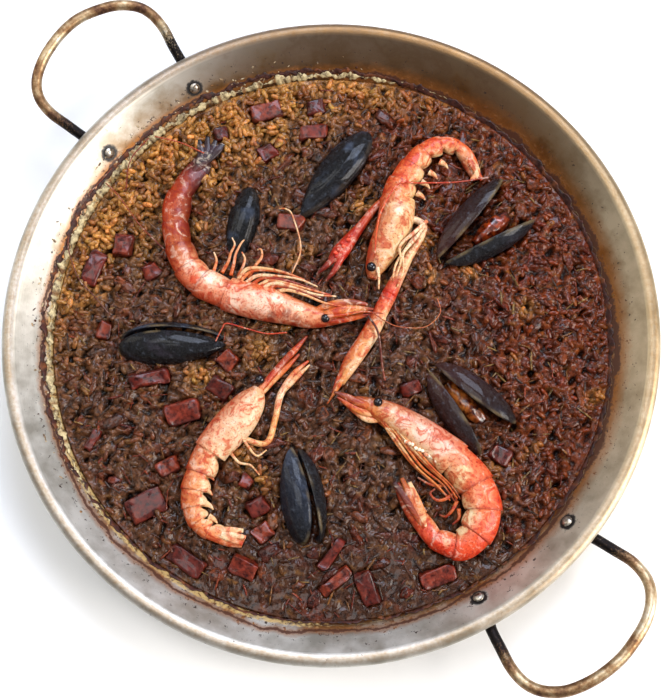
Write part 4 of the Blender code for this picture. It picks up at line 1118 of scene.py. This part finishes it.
legs = between(
    [(-60, 33, 34), (-52, 39, 35), (-38, 39.5, 36), (-24, 36, 36), (-8, 30, 36)],
    [(-40, 24, 36), (-30, 26, 37), (-16, 22, 38), (-3, 18, 38), (10, 17, 37)], 9, 1.5, 5,
)
leg_tones = ((CREAM, "e7c795", ORANGE), ("d98a4c", ORANGE, RUST), (BONE, CREAM, CREAM),
             (ORANGE, RUST, "7c3a20"))
swimmers = [
    [(-72, 38, 31), (-68, 45, 33), (-66.5, 50, 35), (-64, 56, 36), (-66, 61, 35)],
    [(-66, 36, 32), (-64, 44, 34), (-63, 50, 35), (-60, 57, 35), (-58, 60, 34)],
    [(-61, 35, 32), (-58, 42, 34), (-57, 47, 35), (-59, 51, 36)],
    [(-54, 34, 33), (-50, 42, 35), (-46, 48, 35), (-46.5, 53, 36), (-49, 53, 35)],
    [(-78, 38, 30), (-76, 46, 31), (-78, 52, 31)],
]
scales = [
    tube([(-10, 14, 34, 3, 3), (2, 17, 36, 5.5, 3), (14, 18.5, 36, 5, 2.5), (24, 17.5, 36, 2, 1.5)], 30, 12,
         (ORANGE, "d98a4a", "8a4a22", RUST)),
    tube([(-8, 9, 35, 3, 3), (4, 12.5, 37, 6, 2.6), (16, 14, 37, 5, 2.2), (28, 14.5, 36, 1.5, 1.2)], 30, 12,
         ("d98a4a", ORANGE, "e0a060", "8a3a1c")),
    tube([(-6, 6, 34, 3, 3), (6, 7, 35, 4.5, 2.6), (16, 9, 35, 4, 2.2), (26, 11, 35, 1.5, 1.2)], 30, 12,
         (RUST, "b8461f", ORANGE, RUST)),
    tube([(-2, 8.5, 37, 2.6, 3), (8, 9.5, 38, 2.2, 3), (20, 12, 38, 1.4, 1.6), (34, 11.5, 37, 0.7, 0.8)],
         30, 8, ("c9602a", ORANGE, RUST)),
]
fan = [
    tube([(-95, 108, 28, 5, 4), (-90 + 3 * k, 118 + 1.5 * k, 29, 6.5, 2),
          (-92 + 5.5 * k, 134 - abs(k - 1) * 2.5, 28.5, 3, 1)],
         26, 10, ("6b2418", CHAR, "3b2a3c", "1b1418"))
    for k in range(4)
]
eye = ball((-3.0, 7.6, 36.5), 2.9, "0b0709", 1)
swimmer_tones = ((ORANGE, "e0a070", CREAM),)
piece(
    "prawn_1_whole",
    [body, *strands(legs, 2.6, leg_tones, 0.15), *strands(swimmers, 2.6, swimmer_tones), *scales, *fan, eye],
    SHELL_LOOKS, ["prawn_1"],
)

# prawn 2: curled tight, coral with a pink sheen, cream where the plates meet the belly
body = plated_body(
    PRAWN_2, [1.6, 3.2, 4.6, 5.8, 6.9, 7.9, 9.0], -1,
    (
        (0, "7c2c18", "9c4a28", "8a4a2a"), (1.5, "a84420", "c9652f", "c98a56"),
        (2.6, "d9542c", "d9502a", "e0a078"), (4, "d8401c", "dc4a22", "e08a5c"),
        (5.5, "db4a24", "e4633a", "efc79a"), (7, "d9552c", "ea7f54", "f2d9ae"),
        (8.5, "d9603a", "ea8f66", "f0cf9c"), (9.1, "d0704c", "e3a283", "ecc596"),
        (10.2, "cf8a78", "ecc9c0", "ead0a4"), (11.7, "bf7a5a", "e8bfa4", "dfa868"),
        (12.6, "a85628", "cf8444", "cf8a48"), (15, "8a4420", "a8602c", "a8602c"),
    ),
    0.24,
    (
        (86, -91, 6, "f3e2bc", 0.9), (88, -102, 5, "e26a3c", 0.8), (90, -117, 6.5, "f4e4c0", 0.95),
        (85, -125, 5, "f0dcb4", 0.9), (98, -104, 7, "ee9470", 0.7), (97, -120, 6, "ee9a78", 0.6),
        (72, -75, 7, "f1ddd8", 0.7), (60, -66, 7, "f3e4e0", 0.7), (48, -59, 6, "f0dcd8", 0.7),
        (76, -133, 4, "eeb89a", 0.8), (80, -139, 4.5, "e2492a", 0.7), (64, -80, 4, "f6ecd4", 0.7),
    ),
)
legs = between(
    [(34, -58, 34), (44, -72, 33), (56, -87, 32), (70, -100, 32), (80, -112, 31)],
    [(44, -62, 36), (56, -76, 36), (68, -88, 35), (79, -99, 34), (86, -107, 33)], 7, 1.0, 6,
)
swimmers = [
    [(80, -96, 31), (72, -98, 32), (65, -97, 32), (58, -93, 31)],
    [(82, -101, 31), (76, -106, 32), (70, -107, 32), (66, -103, 32), (69, -100, 32)],
    [(83, -107, 31), (80, -113, 32), (76, -117, 31), (72, -116, 30)],
    [(84, -112, 31), (84, -118, 32), (80, -122, 31)],
]
scales = [
    tube([(31, -50, 34, 4, 3), (22, -48, 36, 5.5, 3), (12, -43.5, 36, 4.5, 2.4), (4, -40.5, 36, 1.6, 1.4)],
         30, 12, ("c9702f", "b5602a", "9c4a20", "6b3018")),
    tube([(31, -54, 33, 4, 3), (21, -52, 35, 5, 3), (12, -47, 35, 4, 2.4), (6, -43.5, 35, 1.4, 1.4)], 30, 12,
         (CREAM, "d98a4a", "c9652c", RUST)),
    tube([(34, -57, 32, 4, 3), (25, -57, 33, 4, 3), (17, -52, 33, 3, 2.2), (10, -47, 33, 1.2, 1.2)], 30, 10,
         ("e6b97c", CREAM, ORANGE, RUST)),
]
fan = [
    tube([(63, -124, 29, 5, 5), (55 + 2 * k, -112 + 0.5 * k, 30, 6, 2.4),
          (43 + 5 * k, -96 + 2.5 * (k % 2), 29.5, 2.6, 1)],
         26, 10, tones)
    for k, tones in enumerate((("c9652f", "8a3a20", "3a1c1c"), (CREAM, ORANGE, "a8602c"),
                               (CREAM, "d98a4a", CREAM)))
]
gills = [
    ball((50 + 2.1 * k, -71.5 - 1.3 * k + 0.5 * (k % 3), 38.0 - 0.05 * k), 1.25, "f2e6c8", 0)
    for k in range(11)
]
eye = ball((32, -46.5, 37.2), 2.9, "0b0709", 1)
leg_tones = (("e0a868", "c9702f", "8a4020"), ("c97a3c", ORANGE, RUST), (CREAM, "d99a58", ORANGE))
swimmer_tones = ((ORANGE, "b8602c", "8a4020"),)
piece(
    "prawn_2_whole",
    [body, *strands(legs, 2.3, leg_tones, 0.1), *strands(swimmers, 2.8, swimmer_tones), *scales, *fan,
     *gills, eye],
    SHELL_LOOKS, ["prawn_2"],
)


# langoustine 1: the long claw reaches across the pan; pale rings on the carapace
body = plated_body(
    LANGOUSTINE_1, [1.4, 2.6, 3.7, 4.8, 5.9, 7.0, 8.2], -1,
    (
        (0, "b8522c", "d9a47c", "b0562e"), (1.4, "cf5a28", "e09a6c", "8a4a2c"),
        (3, "dc5a26", "e8875a", "f2dcb4"), (5, "e06028", "ea8450", "f4e2bc"),
        (7, "dc5a26", "ea8450", "f0d8a8"), (8.3, "d45222", "e49a68", "e6cfa0"),
        (9.5, "d65c2a", "e6b98c", "e2cfa0"), (11, "cf6a38", "deb084", "d9c492"),
        (12.4, "b85a30", "cf9668", "c9a070"), (13, "a84a24", "b8622f", "b8622f"),
    ),
    0.5,
    (
        (44, 80.5, 11.5, "cf9464", 0.8), (44, 80.5, 9, "f2ddb8", 0.85), (44, 80.5, 6.3, "be8050", 0.9),
        (44, 80.5, 4.2, "f8efd6", 1.0), (38, 66, 6, "e3bd96", 0.6), (36, 58, 5, "d39c74", 0.5),
        (29, 44, 5, "b9886a", 0.6),
    ),
    0.3,
)
right_arm = (
    (46, 80, 29, 5, 5), (60, 73, 29, 5, 5), (49, 49.5, 30, 7, 7), (38, 26, 29.5, 10, 9),
    (31.5, 12, 29, 11, 9), (25, -2, 29, 12, 10), (14, -20, 28.5, 11, 9), (7.5, -33, 28, 6, 6),
)
left_arm = ((40, 84, 30, 4, 4), (31.5, 89.5, 29, 4.5, 5), (18, 72, 29, 6.5, 7), (6.5, 56, 29, 11, 9),
            (1, 48, 28, 9, 8))
arm_right = tube(right_arm[:4], 50, 16, (CREAM, BONE, CREAM, "ecc9a0", "d9452a"))
blade = plated_body(
    right_arm[3:], [0.2, 1.0], 1,
    ((0, "d9452a", "dd4a2e", "c93a22"), (0.8, "f0d2a4", "e07a48", "c9401f"), (2, BONE, "e0a060", "c9451f"),
     (4, "e9c088", "d07a3a", "b0401c")),
    0.1, (),
)
fingers = [
    tube([(17, -15, 30, 6, 6), (11, -27, 30, 4.4, 5), (5, -38, 29, 2.6, 3), (-0.5, -47, 28, 0.8, 1)], 30, 10,
         ("ecc08a", "e0a060", "d98a4a", "b8602c")),
    tube([(13, -19, 29, 5, 6), (7, -30, 29, 4, 4.5), (2.5, -40, 28, 1.2, 1.4)], 30, 10,
         (ORANGE, "c9551f", RUST)),
]
arm_left = tube(left_arm, 60, 14, ("d98a5a", "c9653a", "b8401f", "c9381c", "b83a1c"))
bumps_on_palm = [
    ball((11 - 1.6 * k + 1.5 * math.sin(2.4 * k), 64 - 2.3 * k, 33.5), 1.5,
         "e2573a" if k % 2 else "b82f18", 0)
    for k in range(7)
]
left_fingers = [
    tube([(4, 53, 31, 5, 5), (-3, 45, 31, 4, 4), (-10, 38.5, 30, 1.2, 1.5)], 24, 10,
         ("b83a1c", "8a2c18", "5c1c14")),
    tube([(7, 52, 30, 5, 5), (2, 42, 30, 4, 4), (-4, 34, 29, 1.2, 1.5)], 24, 10,
         ("c9381c", "9c3018", "6b2416")),
]
legs = [
    [(62, 76, 33), (53, 66, 37), (44.5, 57, 38), (45, 47, 37), (42, 36, 35)],
    [(60, 73, 33), (54, 62, 36), (46.5, 52, 37), (47, 42, 36), (43, 30, 34)],
    [(56, 68, 33), (50, 58, 36), (42, 45, 36), (40, 34, 35)],
    [(30, 43, 35), (31, 36, 36), (31, 28, 35)],
]
tips = [
    tube([(x, y, 30, 4.6, 3.4), (x + 3.6, y - 2, 30, 3, 2.4), (x + 5.8, y - 4.4, 29, 0.8, 0.8)], 16, 8,
         (CREAM, "e2c498", CREAM))
    for x, y in ((55, 96), (58, 104), (63, 111), (70, 118.5))
]
fan = [
    tube([(88, 124, 29, 5, 4), (93 + k, 115 - 1.5 * k, 30.5, 4.6, 1.8),
          (98.5 - 3.6 * k, 106 + 0.8 * (k % 2), 30, 2.4, 0.9)],
         26, 10, tones)
    for k, tones in enumerate((("cf5a28", ORANGE, "b8522c"), (CREAM, ORANGE, CREAM),
                               (ORANGE, CREAM, "d98a5a")))
]
eye = ball((26, 43, 35.5), 3.2, "0b0709", 1)
piece(
    "langoustine_1_whole",
    [body, arm_right, blade, *fingers, arm_left, *bumps_on_palm, *left_fingers,
     *strands(legs, 2.7, ((BONE, CREAM, "e6c79a"),), 0.12), *tips, *fan, eye],
    SHELL_LOOKS, ["langoustine_1"],
)

# langoustine 2: the palest, with red lines on its plates and a sharp row of cream points
body = plated_body(
    LANGOUSTINE_2, [1.6, 2.7, 3.8, 4.9, 6.0, 7.1, 8.6], 1,
    (
        (0, "c9744a", "e6b48c", "ecc9a4"), (1.6, "c9602f", "e6a478", "f0d6b0"),
        (4, "d0622c", "e79a66", "f2dcb4"), (6, "cf602c", "e8a06c", "f4e2c0"),
        (8, "c95f34", "e8a478", "f2e0bc"), (8.8, "c9623c", "edc6a6", "f4e6cc"),
        (10, "d0714a", "efcfb6", "f2e0c4"), (12, "c9744c", "ecc9aa", "f0d8b8"),
        (13, "b8643c", "deb08a", "deb08a"),
    ),
    0.55,
    (
        (-66, -68, 8, "e9bc9c", 0.6), (-58, -60, 7, "f2d8c2", 0.6), (-55, -73, 6, "f3e2cc", 0.7),
        (-50, -50, 5, "f4dcc4", 0.6), (-79, -93, 3.5, "b53a1c", 0.5), (-82, -110, 3.5, "b8401f", 0.5),
    ),
    0.3,
)
arms = [
    tube([(-49, -46, 31, 4, 4), (-39, -33, 31, 4.5, 5), (-29, -20, 30, 4.5, 5), (-22, -12, 30, 4, 4),
          (-15, -3, 29, 1.5, 2)],
         60, 12, ("e9c08c", "c9552f", RUST, "c9602f", "8a3a20")),
    tube([(-46, -45, 29, 3.5, 4), (-36, -33, 29, 4, 4), (-27, -23.5, 29, 3.5, 4),
          (-19.5, -15, 29, 1.4, 2)], 60, 12, (CREAM, "e0a870", ORANGE, RUST)),
    tube([(-57, -70, 29, 4, 4), (-39, -73.5, 29, 4, 4.5), (-33.5, -58, 29.5, 4, 5),
          (-30.5, -42, 29.5, 4.5, 5), (-22, -28, 29, 4.5, 5), (-13.5, -19, 28, 1.5, 2)], 70, 12,
         (CREAM, "ecc48c", "e9b878", BONE, "e0905c", "d98a5a")),
    tube([(-29, -40, 30, 3, 3), (-20, -30, 31, 3.4, 3.4), (-12.5, -22, 30, 1, 1.4)], 30, 10,
         (CREAM, "e6b484", CREAM)),
]
legs = [
    [(-60, -62, 34), (-50, -76, 34), (-44, -82, 32), (-38, -78, 31)],
    [(-64, -76, 30), (-56, -86, 31), (-48, -88, 31), (-42, -94, 30)],
]
tips = [
    tube([(x, y, 30, 5, 3.6), (x + 3.4, y - 1.6, 30, 3, 2.4), (x + 5.6, y - 4, 29, 0.8, 0.8)], 16, 8,
         (CREAM, "e6cba0", CREAM))
    for x, y in ((-76.5, -94), (-77, -103.5), (-76, -112.5), (-73, -121))
]
fan = [
    tube([(-69, -131, 29, 5, 4), (-61, -133.5 + 2.2 * k, 30.5, 4.6, 1.8),
          (-49 - 1.8 * abs(k - 1), -137.5 + 4.2 * k, 30, 2.6, 0.9)],
         26, 10, tones)
    for k, tones in enumerate((("e6b48c", CREAM, ORANGE), (CREAM, BONE, CREAM), (BONE, "e9b48a", CREAM)))
]
eye = ball((-44, -33, 33.5), 3.2, "0b0709", 1)
piece(
    "langoustine_2_whole",
    [body, *arms, *strands(legs, 2.4, ((CREAM, "e6c79a"),)), *tips, *fan, eye],
    SHELL_LOOKS, ["langoustine_2"],
)

# ---- feelers ----
# Long whips of the prawns and langoustines, thin horny rods that broke off or trail over the rice
# from the head that they grew on. Each has its path, its width and its colours.

whips = [
    ([(-121.9, 132.3, 31), (-104.7, 128.3, 31), (-88, 121, 31)], 0.9, ("a84a28", "b8502c")),
    ([(-126.7, 132.2, 28), (-137.8, 115.5, 29), (-139.8, 94.2, 28)], 0.8, ("8a3a20", "7a3018")),
    ([(-153.6, 99.6, 28), (-144.3, 90.6, 30), (-128.3, 70, 29), (-110.6, 53.1, 29)], 0.8,
     ("9c4424", "7a3018")),
    ([(-150, 110, 29), (-172, 79.3, 29), (-176, 58.4, 28), (-172, 43.4, 28), (-166, 31.2, 28),
      (-158, 23.2, 28), (-144.1, 8.1, 28)], 0.8, ("7a3a20", "5c2a18")),
    ([(-36, 83, 31), (-31, 82, 33), (-26.7, 77, 33.5), (-20.6, 55, 34), (-26, 37.8, 33)], 1.2,
     ("e0b478", CREAM, "c98a52")),
    ([(27, 12, 38), (36, 7, 34), (45.4, 4.5, 30), (61.6, 4.8, 30), (71.2, 14, 30.5), (69.5, 24.3, 30)],
     0.7, ("9c4a28", "c98a5a")),
    ([(24.5, 9.9, 37), (31.2, -1.2, 36), (34.2, -21, 31), (36.3, -31, 29)], 1.6,
     ("4a2420", "6b3a30", "8a4a38")),
    ([(-75, -10, 30), (-70, 0, 33), (-66.9, 3.5, 33), (-55, 1, 31), (-41, -2, 30), (-28, -1, 30)], 1.0,
     ("b8401c", "c9502a")),
    ([(28, 50, 42), (29, 66, 43.5), (32.3, 80.3, 43.5), (42.6, 98, 41), (57.2, 101, 36), (80.4, 103.5, 32),
      (103, 108, 30)],
     1.1, ("d9602c", "e0683c", "c9502a", "8a3020")),
]
feeler_shells = [
    tube([(*p, w, w) for p in path], 12 * len(path), 6, tones) for path, w, tones in whips
]
piece("loose_feelers", feeler_shells, ["cooked shell"])

# ---- mussels ----
# Blue mussels, four of the six opened by the steam. Each valve is a thin hard shell, built up in
# growth lines round the hinge end: blue-black outside, worn to violet-brown, and dark pearl inside.

SHELL_THICKNESS, VALVE_BULGE, VALVE_CROWN = 1.4, 10.5, 0.42
tree, shader = new_look("mussel shell", {"IOR": 1.5, "Specular IOR Level": 0.2, "Coat Weight": 0.25,
                                         "Coat Roughness": 0.08})
tone = node(tree, "Attribute", {}, out="Color", attribute_name="tone")
shell = node(tree, "TexCoord", out="Object")
scuffs = node(tree, "TexNoise", {"Vector": shell, "Scale": 330.0, "Detail": 6.0, "Roughness": 0.75})
worn = node(tree, "MapRange", {"Value": scuffs, "From Min": 0.56, "From Max": 0.7, "To Max": 0.3})
blued = node(tree, "Mix", {"Factor": worn, "A": tone, "B": "8b95a6"}, data_type="RGBA")
gloss = node(tree, "MapRange", {"Value": scuffs, "From Min": 0.35, "From Max": 0.65, "To Min": 0.16,
                                "To Max": 0.5})
bumps = node(tree, "Bump", {"Strength": 1.0, "Distance": 0.002, "Height": scuffs}, out="Normal")
wire(tree, shader, Base_Color=blued, Roughness=gloss, Normal=bumps)

VALVE_POINTS = 64


def bulge(share):
    """How far a valve's outside stands over its rim's plane: 10.5 (1 - share^2.2)^0.6 mm."""
    return VALVE_BULGE * (1 - share**2.2) ** 0.6


def valve_grid(shape, shares, lifts):
    """Rings of a valve at shares of the way from crown to rim, lifted over the rim's plane. The
    outline is x = L/2 (1 - cos t), y = H/2 sin t sin(t/2)^0.6: pointed at the hinge, round at the
    far end. Also gives each point's place along the length, from 0 to 1."""
    hinge, end, height, degrees, elevation = shape
    hinge, end = np.array(hinge, float), np.array(end, float)
    length = np.linalg.norm(end - hinge)
    run = (end - hinge) / length
    a, e = math.radians(degrees), math.radians(elevation)
    out = np.array([math.cos(a) * math.cos(e), math.sin(a) * math.cos(e), math.sin(e)])
    out = out - run * (out @ run)
    out /= np.linalg.norm(out)
    crown = VALVE_CROWN * length
    t = 2 * math.pi * (np.arange(VALVE_POINTS) + 0.5) / VALVE_POINTS
    x = crown + shares[:, None] * (length / 2 * (1 - np.cos(t)) - crown)
    y = shares[:, None] * height / 2 * np.sin(t) * np.sin(t / 2) ** 0.6
    flat = x[..., None] * run + y[..., None] * np.cross(out, run)
    return hinge + flat + lifts[:, None, None] * out, x / length


def valve_shell(shape, skin, haze, inner, both=False, seed=60):
    """A valve from its crown over the rim and back inside; both closes it with its mirror. Lines of
    growth ripple its outside by 0.1 mm. skin and haze are the outside's hinge, middle and far
    colours, plain and where it is worn."""
    outer = np.concatenate([[0.02], np.linspace(0.06, 0.9, 22), [0.95, 0.985, 1.0]])
    growth = 0.10 * np.sin(2 * math.pi * (outer**1.5) * 17) * (outer > 0.15)
    lift = np.append(bulge(outer[:-1]), 0.25) + growth
    if both:
        shares = np.concatenate([outer, [0.975], outer[::-1]])
        lifts = np.concatenate([lift, [0], -lift[::-1]])
    else:
        back_in = np.concatenate([[0.93], np.linspace(0.85, 0.02, 12)])
        shares = np.concatenate([outer, back_in])
        lifts = np.concatenate([lift, [0.0], np.maximum(bulge(back_in[1:]) - SHELL_THICKNESS, 0.05)])
    rings, u = valve_grid(shape, shares, lifts)
    base, over = (spread(colours, (0.0, 0.5, 1.0), u) for colours in (skin, haze))
    lines = 0.5 + 0.5 * np.sin(2 * math.pi * 26 * shares**1.5)[:, None]
    rubbed = smooth(ripples(rings, 16, seed) + 0.8 * ripples(rings, 5, seed + 1) * lines, 0.2, 2.6)
    tone = mixed(0.6 * base, over, 0.4 * rubbed)
    rim = smooth(shares, 0.965, 0.985)[:, None] * smooth(ripples(rings, 15, seed + 2), -0.5, 1.0)
    tone = mixed(tone, linear("4c4034" if both else "86704a"), 0.5 * rim)
    if not both:
        within = np.arange(len(shares)) >= len(outer)
        pearl = mixed(linear(inner[0]), linear(inner[1]), smooth(shares, 0.3, 1.0))[:, None]
        tone = np.where(within[:, None, None], pearl + 0 * tone, tone)
    return closed(rings, tone)


BLACK_BLUE, BLACK_BROWN = ("121014", "0e0f14", "0e1014"), ("4a231a", "341a18", "1c1416")
BLUE_HAZE, VIOLET_HAZE = ("57606f", "4d5a70", "66728a"), ("6a3428", "4c302e", "343446")
DARK_PEARL = ("0c0b10", "2c2a33")
# each valve's hinge, far end, height, and the bearing and elevation that its outside faces; then
# its colours plain and worn, and whether it stands for both valves
MUSSELS = {
    "mussel_shut_1": (((-21.5, 78.5, 27), (22, 138.5, 30), 34, 141, 57), BLACK_BLUE, BLUE_HAZE, True),
    "mussel_shut_2": (((-64, 47, 22), (-56.5, 100, 25), 26, 188, 35), ("111114", "0b0c0f", "0e0f12"),
                      BLUE_HAZE, True),
    "mussel_ajar_1_valve_1": (((-67.5, -9, 27), (-138, -14, 27), 31, -85, 48), ("111116", "0d0d11", "09090c"),
                              ("5a6278", "463c4a", "2a2c38"), False),
    "mussel_ajar_1_valve_2": (((-69, -4.5, 26), (-137, -8, 26), 29, 95, -34), ("111116", "0d0d11", "09090c"),
                              BLUE_HAZE, False),
    "mussel_ajar_2_valve_1": (((-22, -75.5, 29), (-13, -137, 27), 30, 188, 40),
                              ("2c323e", "222836", "0a090e"), ("6a7488", "5a6680", "1c1c26"), False),
    "mussel_ajar_2_valve_2": (((-18.5, -76.5, 29), (-3.5, -136, 27), 29, 12, -18),
                              ("1c1a1e", "121116", "0d0c10"), ("3c3034", "2c2630", "1c1c22"), False),
    "mussel_open_1_valve_1": (((70, 51, 29), (112, 107, 30), 29, 143, 20), BLACK_BROWN, VIOLET_HAZE, False),
    "mussel_open_1_valve_2": (((74.5, 49.5, 29), (133, 80, 28), 29, -63, -6), ("1e1c20", "17171c", "24242c"),
                              ("4a4a54", "3c3c48", "4c4c58"), False),
    "mussel_open_2_valve_1": (((68, -20, 29), (120, -57, 29), 29, 55, 26), BLACK_BROWN,
                              ("4c4250", "3c3a50", "2c2c3a"), False),
    "mussel_open_2_valve_2": (((65.5, -24, 29), (98.5, -77, 27), 29, 212, 10), BLACK_BROWN, VIOLET_HAZE,
                              False),
}
for k, (name, (shape, skin, haze, both)) in enumerate(MUSSELS.items()):
    valve = valve_shell(shape, skin, haze, DARK_PEARL, both, 60 + 2 * k)
    piece(f"{name}_shell", [valve], ["mussel shell"], [name])

# Meat: a soft plump body with a darker frilled edge, wet.
toned_look(
    "cooked mussel meat",
    {"Roughness": 0.25, "Subsurface Weight": 0.25, "Subsurface Scale": 0.003, "Coat Weight": 0.6,
     "Coat Roughness": 0.05},
    (230.0, 5.0, 0.5), (0.38, 0.6, "6b4430"), None, (0.6, 0.0012),
)

MEAT_WIDTH, MEAT_THICKNESS = 13.0, 12.0
# each meat's place, length, bearing in degrees and colours
MEATS = (
    (105, 73, 27, 30, 42, ("8a3414", "b8501c", "6b2410")),
    (88, -44, 27, 34, -46, ("a8622c", "c98040", "8a4420")),
)
for k, (x, y, z, length, degrees, tones) in enumerate(MEATS):
    fat = np.array([0.35, 0.65, 0.85, 0.95, 1.0, 0.97, 0.9, 0.7, 0.4])
    reach = np.linspace(-0.5, 0.5, len(fat))
    way = np.array([math.cos(math.radians(degrees)), math.sin(math.radians(degrees))])
    middle = np.array([x, y]) + reach[:, None] * length * way
    rows = np.column_stack([middle, np.full(len(fat), z), fat * MEAT_WIDTH, fat * MEAT_THICKNESS])
    points, faces, colours, wear = tube(rows, 48, 32, tones)
    points = points + 0.45 * ripples(points, 7, 80 + k)[:, None] * np.array([0.5, 0.5, 1.0])
    frill = smooth(np.abs(ripples(points, 9, 82 + k)), 0.0, 0.35)
    colours = colours * (0.35 + 0.65 * frill[:, None])
    name = f"mussel_open_{k + 1}_meat"
    piece(f"{name}_body", [(points, faces, colours, wear)], ["cooked mussel meat"], [name])

# ---- cuttlefish ----
# Thick cuttlefish cut in blocks and stewed until the ink and peppers dyed it brick red; one face of
# each block still has its grey-purple skin.

toned_look(
    "stewed cuttlefish",
    {"Subsurface Weight": 0.12, "Subsurface Scale": 0.002, "Coat Weight": 0.3, "Coat Roughness": 0.06,
     "IOR": 1.4, "Specular IOR Level": 0.3},
    (260.0, 5.0, 0.65), (0.36, 0.62, "6b4038"), (0.24, 0.5), (0.5, 0.001),
)

CHUNK_SINK, CHUNK_POWER = 2.0, 0.24
CHUNK_SHAPE = globe(22, 40, 0.5)
# each block's x, y, length, width, depth, bearing and tilt
CUTTLEFISH = (
    (-140, 57, 16, 14, 12, 86, 6), (-159, 41, 26, 13, 11, 72, 8), (-48, 155, 24, 14, 11, 18, 5),
    (-14.5, 159, 13, 12, 11, 12, 8), (-15, 140, 21, 11, 11, 8, 4), (-46, 125, 13, 12, 10, 35, 9),
    (-28.5, 75.5, 19, 12, 11, -14, 8), (-78, 137.5, 12, 10, 10, 20, 4), (-120, 40, 12, 12, 10, 30, 6),
    (-117, -32.5, 29, 11, 11, 12, 7), (-66, -19.5, 13, 13, 12, -40, 9), (-70, -38, 18, 13, 12, -36, 7),
    (-94, -54, 26, 16, 12, 15, 10), (-151, -74, 15, 6, 9, 66, 5), (-101, -89.5, 15, 12, 11, 28, 7),
    (-114, -114.5, 27, 19, 9, 30, 4), (-51, -98, 10, 9, 10, 60, 9), (-43, -113.5, 15, 12, 11, 30, 8),
    (-39, -129.5, 13, 12, 10, 40, 6), (-86.5, -148.5, 27, 13, 7, -32, 2), (-50, -151.5, 19, 13, 11, -24, 8),
    (4.5, -142.5, 25, 7, 9, 52, 5), (7.5, -158.5, 26, 8.5, 10, 42, 6), (28, -162, 24, 12, 9, -66, 5),
    (72, -154, 25, 12, 9, 18, 4), (53, -35, 15, 10, 10, 22, 7), (-149, -1, 14, 10, 10, 75, 8),
    (111, -77, 15, 13, 10, -30, 5),
)
for k, (x, y, length, width, depth, degrees, tilt) in enumerate(CUTTLEFISH):
    # a rounded block, the power 0.24 of a sphere's sines and cosines, narrower on top and hollowed
    unit = np.sign(CHUNK_SHAPE) * np.abs(CHUNK_SHAPE) ** CHUNK_POWER
    block = unit * np.array([length, width, depth]) / 2
    block = block * np.where(unit[..., 2:] > 0, (0.9, 0.88, 1.0), 1.0)
    block += 0.8 * np.stack([ripples(block + 40 * k, 11, 90 + i) for i in range(3)], -1) * unit
    skin_side = smooth(unit[..., 1] * (1 if k % 2 else -1), 0.5, 0.9)
    flesh_tone = linear(("7c2a18", "6a2014", "86341c", "5e1c12")[k % 4])
    tones = mixed(np.broadcast_to(flesh_tone, block.shape), linear("42201e"), 0.6 * skin_side)
    tones = mixed(tones, linear("8c3a1e"), 0.4 * smooth(ripples(block + 9 * k, 8, 95), 0.2, 1.4))
    block = swung(swung(block, 0, math.radians(tilt)), 2, math.radians(degrees))
    block += (x, y, rice_height(x, y) - CHUNK_SINK)
    name = f"cuttlefish_{k + 1:02d}"
    piece(f"{name}_block", [closed(block, tones)], ["stewed cuttlefish"], [name])
